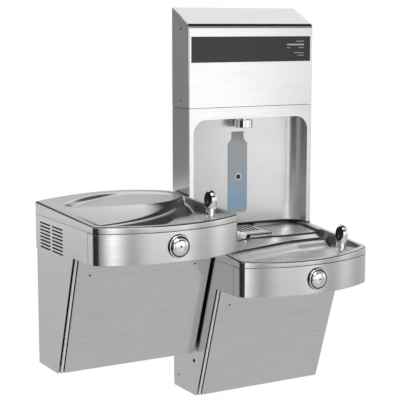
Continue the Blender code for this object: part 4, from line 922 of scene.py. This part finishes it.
seam_z = wrap_high.z - SEAM / 2
profile = [(wrap_low.y, wrap_low.z), (wrap_low.y, seam_z), (wrap_high.y, seam_z), (wrap_high.y, wrap_low.z)]
wrapper = sheet_cover("tower_wrapper_cover", profile, (TO_WALL, -UP, UP))
left = ALCOVE_MARGIN
right = UNIT_WIDTH - ALCOVE_MARGIN
round_top = ALCOVE_TOP - ALCOVE_CORNER
right_bend = arc((right - ALCOVE_CORNER, round_top), ALCOVE_CORNER, 0, math.pi / 2, ALCOVE_STEPS)
left_bend = arc((left + ALCOVE_CORNER, round_top), ALCOVE_CORNER, math.pi / 2, math.pi, ALCOVE_STEPS)
arch = [(right, 0), *right_bend, *left_bend, (left, 0)]
cut_ends = (wrap_low.y - ALCOVE_CUT, wrap_low.y + ALCOVE_CUT)
bm = bmesh.new()
add_skin(bm, [[tower + Vector((x, y, z)) for x, z in arch] for y in cut_ends], loop=True)
bmesh.ops.holes_fill(bm, edges=bm.edges)
carve(wrapper, to_object(bm, "alcove_opening"))
fit(wrapper, upright_steel, "stainless", "fountain", "tower_wrapper")

# Tower seal: a flat black piece between the basin's deck and the foot of the tower, painted shade for the gap
# there.
# It keeps the form it was built with and shows as a dark line under the alcove.
# Black and matt: painted shade for the gap under the tower and for the groove beside each panel bead.
gap_shade_black = plain_finish("black_gap_shade", "#0d0d0d", "#171717", 0.0, 0.5, 0.65, 3)
dress(gap_shade_black, "tower_seal")

# Alcove liner: one stainless sheet curved round both back corners under a flat ceiling, seen
# through the arched opening. Brushed like the covers and a little duller.
LINER_CURVE = 0.058
LINER_HOLLOW = math.radians(7)  # turn of the back at its ends
LINER_GAP = 0.0003        # behind the wrapper's front
ALCOVE_BACK = 0.020
CURVE_STEPS = 28
BACK_STEPS = 12           # to each half of the back
LINER_ROWS = 8
front = wrap_low.y + SHEET + LINER_GAP
edge = liner_low.x + SHEET
half = MID - edge - LINER_CURVE + LINER_CURVE * math.sin(LINER_HOLLOW)
rise = math.tan(LINER_HOLLOW) * half / 2
centre_y = -ALCOVE_BACK - rise - LINER_CURVE * math.cos(LINER_HOLLOW)
left_end = arc((edge + LINER_CURVE, centre_y), LINER_CURVE, math.pi, math.pi / 2 + LINER_HOLLOW, CURVE_STEPS)
right_end = [(UNIT_WIDTH - x, y) for x, y in reversed(left_end)]
shares = [i / BACK_STEPS - 1 for i in range(1, 2 * BACK_STEPS)]
back = [(MID + half * t, -ALCOVE_BACK - rise * t * t) for t in shares]
plan = [(edge, front), *left_end, *back, *right_end, (UNIT_WIDTH - edge, front)]
ceiling = ALCOVE_TOP + SHEET
levels = [liner_low.z + (ceiling - liner_low.z) * i / LINER_ROWS for i in range(LINER_ROWS + 1)]
bm = bmesh.new()
grid = add_skin(bm, [[tower + Vector((x, y, z)) for x, y in plan] for z in levels])
bm.faces.new(grid[-1])
liner = to_object(bm, "curved_alcove_liner", 50)
if any(polygon.normal.z > FACING for polygon in liner.data.polygons):
    liner.data.flip_normals()
thicken(liner, SHEET)
# Brushed stainless, a coarser grade: duller, with soft broad reflections.
liner_steel = brushed_stainless("liner_steel", UPRIGHT_GRAIN, "#d7d7d7", "#e1e1e1", 0.28, 0.33)
fit(liner, liner_steel, "stainless", "fountain", "alcove_liner")

# Display panel: smoked black acrylic, moulded with a border and set flush in the hood.
# Plain pale bars, with the light of lit segments painted in, stand where a filler shows its state.
BORDER = 0.0022
DISPLAY_EDGE = 0.0004
BAR_PROUD = 0.0002        # bars before and behind the panel's face
BAR_HIGH = 0.0052
BAR_LOW = 0.0022
BARS = ((0.366, 0.433, 0.6105, BAR_HIGH), (0.402, 0.433, 0.6215, BAR_LOW), (0.366, 0.378, 0.6005, BAR_LOW),
        (0.412, 0.433, 0.6005, BAR_LOW), (0.394, 0.433, 0.5840, BAR_LOW),
        (0.408, 0.433, 0.5760, BAR_LOW))  # left end, right end, height and thickness
bm = bmesh.new()
box_between(bm, panel_low, panel_high)
bmesh.ops.bevel(bm, geom=bm.edges, offset=DISPLAY_EDGE, segments=2, affect="EDGES")
face = min(bm.faces, key=lambda item: item.calc_center_median().y)
bmesh.ops.inset_region(bm, faces=[face], thickness=BORDER, depth=0)
display = to_object(bm, "smoked_display_panel")
# Cast acrylic: near black, with a smooth gloss.
smoked = plain_finish("smoked_acrylic", "#131313", "#181818", 0.0, 0.16, 0.22, 30)
# Its moulded border: a shade lighter and less glossy.
border = plain_finish("display_border", "#181818", "#202020", 0.0, 0.2, 0.3, 10)
fit(display, border, "black_plastic", "fountain", "display_panel")
display.data.materials.append(smoked)
largest = max(display.data.polygons, key=lambda item: item.area if item.normal.y < -FACING else 0)
largest.material_index = 1

bm = bmesh.new()
for start, end, height, thick in BARS:
    low = Vector((tower.x + start, panel_low.y - BAR_PROUD, tower.z + height - thick / 2))
    high = Vector((tower.x + end, panel_low.y + BAR_PROUD, tower.z + height + thick / 2))
    box_between(bm, low, high)
bars = to_object(bm, "display_bars")
# Printed acrylic lit from behind, its light painted in: pale blue-grey on the black.
lit_bar = plain_finish("lit_bar", "#8b98a5", "#b4c0ca", 0.0, 0.3, 0.4, 14)
fit(bars, lit_bar, "white_plastic", "fountain")

# Filling nozzle: a plain chromed drum with a sunk outlet, turned from brass and plated.
# It hangs under the alcove's ceiling on a short shank.
NOZZLE_HEIGHT = 0.026
NOZZLE_FOOT = 0.0015      # rounding of the drum's lower and upper edges
NOZZLE_TOP = 0.001
OUTLET = 0.006
OUTLET_DEPTH = 0.004
SHANK = 0.012
SHANK_LENGTH = 0.018
nozzle_low, nozzle_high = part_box("filling_nozzle")
nozzle_at = (nozzle_low + nozzle_high) / 2
nozzle_at.z = nozzle_low.z
NOZZLE_RADIUS = (nozzle_high.x - nozzle_low.x) / 2
shank_top = NOZZLE_HEIGHT + SHANK_LENGTH
outlet = [(0, OUTLET_DEPTH), (OUTLET, OUTLET_DEPTH), (OUTLET, 0)]
drum = [(NOZZLE_RADIUS - NOZZLE_FOOT, 0), (NOZZLE_RADIUS, NOZZLE_FOOT),
        (NOZZLE_RADIUS, NOZZLE_HEIGHT - NOZZLE_TOP), (NOZZLE_RADIUS - NOZZLE_TOP, NOZZLE_HEIGHT)]
shank = [(SHANK, NOZZLE_HEIGHT), (SHANK, shank_top), (0, shank_top)]
nozzle = stand(turned("chromed_filling_nozzle", [*outlet, *drum, *shank]), nozzle_at)
fit(nozzle, chrome, "chrome", "fountain", "filling_nozzle")

# Bottle window: a bottle-shaped acrylic lens on the alcove's back, grey at the neck and blue at the foot,
# where light from below is painted in, with the sensor's white ring and black lens in it.
TINTS = ((0.0, "#a8adb1"), (0.03, "#a3abb1"), (0.07, "#8badcc"), (0.30, "#97afc1"), (0.60, "#a3aab0"),
         (1.0, "#a8abad"))  # from the foot up
FROST = 0.004             # size of the frosting, drawn coarser than the real one to show
FROST_GLOSS = (0.28, 0.40)
window_low, window_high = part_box("bottle_window")
# Frosted acrylic lit from below, its light painted in: a soft tint that fades upwards.
window, tree, shader, place = new_finish("window_acrylic_painted_glow")
height = add(tree, "ShaderNodeSeparateXYZ", Vector=place).outputs["Z"]
share = add(tree, "ShaderNodeMapRange", in_0=height, in_1=window_low.z, in_2=window_high.z)
stops = [(step, linear(colour)) for step, colour in TINTS]
tint = add(tree, "ShaderNodeValToRGB", {"stops": stops}, Fac=share)
frost = add(tree, "ShaderNodeTexNoise", Vector=place, Scale=1 / FROST, Detail=2.0)
gloss = add(tree, "ShaderNodeMapRange", in_0=frost, in_3=FROST_GLOSS[0], in_4=FROST_GLOSS[1])
feed(tree, shader, Base_Color=tint, Roughness=gloss)
dress(window, "bottle_window")
# Moulded ABS: clean white with a low shine.
white_abs = plain_finish("white_abs", "#e6e6e4", "#f2f2f0", 0.0, 0.3, 0.4, 4)
dress(white_abs, "sensor_ring")
# Dyed acrylic that only passes infrared: a glossy black.
sensor_black = plain_finish("sensor_black_acrylic", "#08080a", "#121214", 0.0, 0.12, 0.2, 6)
dress(sensor_black, "sensor_lens")

# Screws and plugs: round-headed steel screws near the top of the inclined front panels, and black
# plastic plugs pushed into unused holes of the right cabinet's side and of the tower's side.
PANEL_TOP = (-0.2765, -0.1297)  # y and z of the front panels' top edge
PANEL_FOOT = (-0.1530, -0.5030)
SCREW_DROP = 0.190
SCREW_SIDES = (0.0620, 0.4120)
SCREW_HEAD = 0.0032
HEAD_FLAT = 0.35          # height of a head against its radius
HEAD_SUNK = 0.0008        # its foot before it is flattened, below the sheet's face
HEAD_RINGS = 6
HEAD_STEPS = 24
PLUGS = ((0.140, -0.390, 0.0062), (0.040, -0.462, 0.0032), (0.058, 0.436, 0.0030),
         (0.058, 0.662, 0.0034))  # distance from the wall, height and radius


def heads(name, places, way):
    """Round heads joined in one piece, each with its place and radius."""
    turn = Vector(way).to_track_quat("Z", "Y").to_matrix().to_4x4()
    turns = [2 * math.pi * i / HEAD_STEPS for i in range(HEAD_STEPS)]
    bm = bmesh.new()
    for place, radius in places:
        seat = Matrix.Translation(place) @ turn
        outline = arc((0, 0), radius, 0, math.pi / 2, HEAD_RINGS)
        rows = []
        for reach, rise in [(radius, -HEAD_SUNK), *outline[:-1]]:
            ring = [Vector((reach * math.cos(t), reach * math.sin(t), rise * HEAD_FLAT)) for t in turns]
            rows.append([seat @ point for point in ring])
        grid = add_skin(bm, rows, loop=True)
        bm.faces.new(grid[-1])
        bm.faces.new(grid[0])
    return to_object(bm, name)


fall = (SCREW_DROP + PANEL_TOP[1]) / (PANEL_TOP[1] - PANEL_FOOT[1])
screw_y = PANEL_TOP[0] + (PANEL_FOOT[0] - PANEL_TOP[0]) * fall
outwards = (0, PANEL_FOOT[1] - PANEL_TOP[1], PANEL_TOP[0] - PANEL_FOOT[0])
spots = [Vector((x, screw_y, -SCREW_DROP)) for x in SCREW_SIDES]
places = [(unit_at[side] + spot, SCREW_HEAD) for side in both for spot in spots]
screws = heads("panel_screws", places, outwards)
# Blackened steel: dark grey with a dull gleam.
screw_steel = plain_finish("blackened_screw_steel", "#2c2c2c", "#3a3a3a", 1.0, 0.3, 0.45, 2)
fit(screws, screw_steel, "black_plastic", "fountain")
places = [(tower + Vector((0, -y, z)), radius) for y, z, radius in PLUGS]
plugs = heads("hole_plugs", places, (-1, 0, 0))
fit(plugs, black_plastic_and_slot_shade, "black_plastic", "fountain")

# Panel edges: the rolled bead along the left edge of each front panel, with a painted highlight, and a black
# strip in the groove beside it that is painted shade for the gap.
BEAD_X = 0.0135           # bead's axis from the cabinet's left side
BEAD_RADIUS = 0.0043
BEAD_SUNK = 0.0040
BEAD_STEPS = 24
# The black strip in the groove is painted shade for the gap beside the bead.
GAP_STRIP_X = 0.0192
GAP_STRIP_RADIUS = 0.0014
GAP_STRIP_STEPS = 12
FOOT_SHORT = 0.004        # both end this far above the panel's foot
out_way = Vector(outwards).normalized()
# Painted highlight: a near-white finish, with less metal in it than steel has, so that the rolled edge shows
# as a light line.
bead_painted_highlight = plain_finish("bead_steel_painted_highlight", "#f2f2f2", "#fafafa", 0.3, 0.08, 0.12, 6)
for side in both:
    top = unit_at[side] + Vector((0, *PANEL_TOP))
    foot = unit_at[side] + Vector((0, *PANEL_FOOT))
    foot += (top - foot).normalized() * FOOT_SHORT
    across = Vector((BEAD_X, 0, 0)) - out_way * BEAD_SUNK
    bead = bar(f"{side}_panel_bead", BEAD_RADIUS, top + across, foot + across, BEAD_STEPS)
    fit(bead, bead_painted_highlight, "stainless", "fountain")
    # black strip in the groove beside the bead: painted shade for the gap
    across = Vector((GAP_STRIP_X, 0, 0)) - out_way * GAP_STRIP_RADIUS
    gap_shade_strip = bar(f"{side}_panel_gap_shade", GAP_STRIP_RADIUS, top + across, foot + across, GAP_STRIP_STEPS)
    fit(gap_shade_strip, gap_shade_black, "black_plastic", "fountain")

# Studio: a plain pale floor at the height where such a fountain hangs, inside a light tent whose
# panels are what the steel mirrors. The tent and the grey card show in reflections only.
FLOOR_AT = (0, -0.2, -0.64)
FLOOR_RADIUS = 1.8
FLOOR_STEPS = 96
FLOOR_ROUGH = 0.8
FLOOR_FADE = (0.3, 1.4)   # distances from its middle between which it turns to plain white
FLOOR_WHITE = 0.94        # share of plain white in its middle
MIRRORED_WHITE = 0.56     # brightness of the floor as the steel mirrors it
TENT_RADIUS = 6.0
TENT_STEPS = (64, 32)
HIGH_PART = (0.10, 0.32)  # rise of a direction where the panels overhead take over from those around
LOW_PART = (-0.155, -0.03)  # rise where the low panels are still dim, and where they are at full strength
LOW_DIM = 0.58
SIDE_RAMP = ((-180, 0.60), (-152, 0.45), (-132, 0.25), (-112, 0.80), (-98, 1.15), (-78, 0.75), (-62, 1.35),
             (-51, 0.75), (-41, 0.82), (-31, 1.50), (-23, 1.25), (-14, 1.15), (-4, 1.22), (4, 0.95),
             (11.5, 0.45), (19.5, 1.25), (24, 2.5), (28, 1.45), (31.5, 0.5), (34, 0.18), (37, 0.05),
             (106, 0.03), (124, 0.98), (150, 1.04),
             (180, 0.60))  # degrees from straight in front to the left, and brightness
OVER_RAMP = ((0.0, 1.15), (0.07, 1.15), (0.10, 0.10), (0.17, 0.10), (0.21, 0.90), (0.28, 0.90), (0.33, 0.05),
             (0.53, 0.05), (0.58, 1.05), (0.68, 1.0), (0.80, 0.66), (0.90, 0.46),
             (1.0, 0.42))  # share of the way over from front to wall, and brightness
CARD_LOW = Vector((-1.5, 1.49, 0.12))
CARD_HIGH = Vector((-0.35, 1.51, 1.3))
KEY_SIZE = (1.6, 1.2)
KEY_WATTS = 28
KEY_AT = Vector((-0.6, -2.4, 2.2))
KEY_AIM = Vector((0, 0, 0.2))
AMBIENT = 0.5


def shade(value):
    """Grey of a brightness."""
    return (value, value, value, 1)


bm = bmesh.new()
bmesh.ops.create_circle(bm, cap_ends=True, segments=FLOOR_STEPS, radius=FLOOR_RADIUS)
bmesh.ops.translate(bm, vec=FLOOR_AT, verts=bm.verts)
floor = to_object(bm, "studio_floor")
# Matt floor paint: pale, with a faint shadow that fades out to plain white.
paint, tree, shader, place = new_finish("pale_floor_paint")
feed(tree, shader, Base_Color=linear("#f0f0ee"), Roughness=FLOOR_ROUGH)
rays = add(tree, "ShaderNodeLightPath").outputs
glossy = rays["Is Glossy Ray"]
bright = add(tree, "ShaderNodeMapRange", in_0=glossy, in_3=1.0, in_4=MIRRORED_WHITE)
white = add(tree, "ShaderNodeEmission", Color=shade(1), Strength=bright)
away = add(tree, "ShaderNodeVectorMath", {"operation": "DISTANCE"}, in_0=place, in_1=FLOOR_AT)
fade = add(tree, "ShaderNodeMapRange", EASED, in_0=away.outputs["Value"], in_1=FLOOR_FADE[0],
           in_2=FLOOR_FADE[1], in_3=FLOOR_WHITE, in_4=1.0)
seen = add(tree, "ShaderNodeMath", {"operation": "MULTIPLY"}, in_0=rays["Is Camera Ray"], in_1=fade)
plain = add(tree, "ShaderNodeMath", {"operation": "MAXIMUM"}, in_0=glossy, in_1=seen)
mixed = add(tree, "ShaderNodeMixShader", in_0=plain, in_1=shader, in_2=white)
feed(tree, tree.nodes["Material Output"], Surface=mixed)
floor.data.materials.append(paint)

bm = bmesh.new()
bmesh.ops.create_uvsphere(bm, u_segments=TENT_STEPS[0], v_segments=TENT_STEPS[1], radius=TENT_RADIUS)
tent = to_object(bm, "light_tent")
tent.visible_camera = False
tent.visible_shadow = False
# Panels of white and black cloth: bands of light and dark for the steel to mirror.
cloth, tree, shader, place = new_finish("tent_panels")
tree.nodes.remove(shader)
way = add(tree, "ShaderNodeVectorMath", {"operation": "NORMALIZE"}, in_0=place)
x, y, z = add(tree, "ShaderNodeSeparateXYZ", Vector=way).outputs
to_left = add(tree, "ShaderNodeMath", {"operation": "MULTIPLY"}, in_0=x, in_1=-1.0)
to_front = add(tree, "ShaderNodeMath", {"operation": "MULTIPLY"}, in_0=y, in_1=-1.0)
round_angle = add(tree, "ShaderNodeMath", {"operation": "ARCTAN2"}, in_0=to_left, in_1=to_front)
around = add(tree, "ShaderNodeMapRange", in_0=round_angle, in_1=-math.pi, in_2=math.pi)
over_angle = add(tree, "ShaderNodeMath", {"operation": "ARCTAN2"}, in_0=z, in_1=to_front)
over = add(tree, "ShaderNodeMapRange", in_0=over_angle, in_1=0.0, in_2=math.pi)
stops = [((degrees + 180) / 360, shade(value)) for degrees, value in SIDE_RAMP]
low_part = add(tree, "ShaderNodeValToRGB", {"stops": stops}, Fac=around)
stops = [(share, shade(value)) for share, value in OVER_RAMP]
high_part = add(tree, "ShaderNodeValToRGB", {"stops": stops}, Fac=over)
high = add(tree, "ShaderNodeMapRange", EASED, in_0=z, in_1=HIGH_PART[0], in_2=HIGH_PART[1])
panels = add(tree, "ShaderNodeMix", COLOURS, in_0=high, in_6=low_part, in_7=high_part)
dimmed = add(tree, "ShaderNodeMapRange", in_0=z, in_1=LOW_PART[0], in_2=LOW_PART[1], in_3=LOW_DIM, in_4=1.0)
glow = add(tree, "ShaderNodeEmission", Color=panels.outputs[2], Strength=dimmed)
feed(tree, tree.nodes["Material Output"], Surface=glow)
tent.data.materials.append(cloth)

bm = bmesh.new()
box_between(bm, CARD_LOW, CARD_HIGH)
card = to_object(bm, "grey_card")
card.visible_camera = False
card.visible_shadow = False
# Pressed felt: an even, matt mid grey.
card.data.materials.append(plain_finish("grey_felt", "#acacac", "#b4b4b4", 0.0, 0.9, 1.0, 3))

key_data = bpy.data.lights.new("key_light", "AREA")
key_data.shape = "RECTANGLE"
key_data.size, key_data.size_y = KEY_SIZE
key_data.energy = KEY_WATTS
key = bpy.data.objects.new("key_light", key_data)
key.location = KEY_AT
key.rotation_euler = (KEY_AIM - KEY_AT).to_track_quat("-Z", "Y").to_euler()
bpy.context.scene.collection.objects.link(key)

world = bpy.data.worlds.new("white_studio")
world.use_nodes = True
bpy.context.scene.world = world
tree = world.node_tree
ambient = tree.nodes["Background"]
feed(tree, ambient, Color=shade(AMBIENT))
backdrop = add(tree, "ShaderNodeBackground", Color=shade(1), Strength=1.0)
rays = add(tree, "ShaderNodeLightPath").outputs
mirrored = add(tree, "ShaderNodeMath", {"operation": "MAXIMUM"}, in_0=rays["Is Glossy Ray"],
               in_1=rays["Is Transmission Ray"])
shown = add(tree, "ShaderNodeMath", {"operation": "MAXIMUM"}, in_0=rays["Is Camera Ray"], in_1=mirrored)
mixed = add(tree, "ShaderNodeMixShader", in_0=shown, in_1=ambient, in_2=backdrop)
feed(tree, tree.nodes["World Output"], Surface=mixed)
bpy.context.scene.view_settings.view_transform = "Standard"
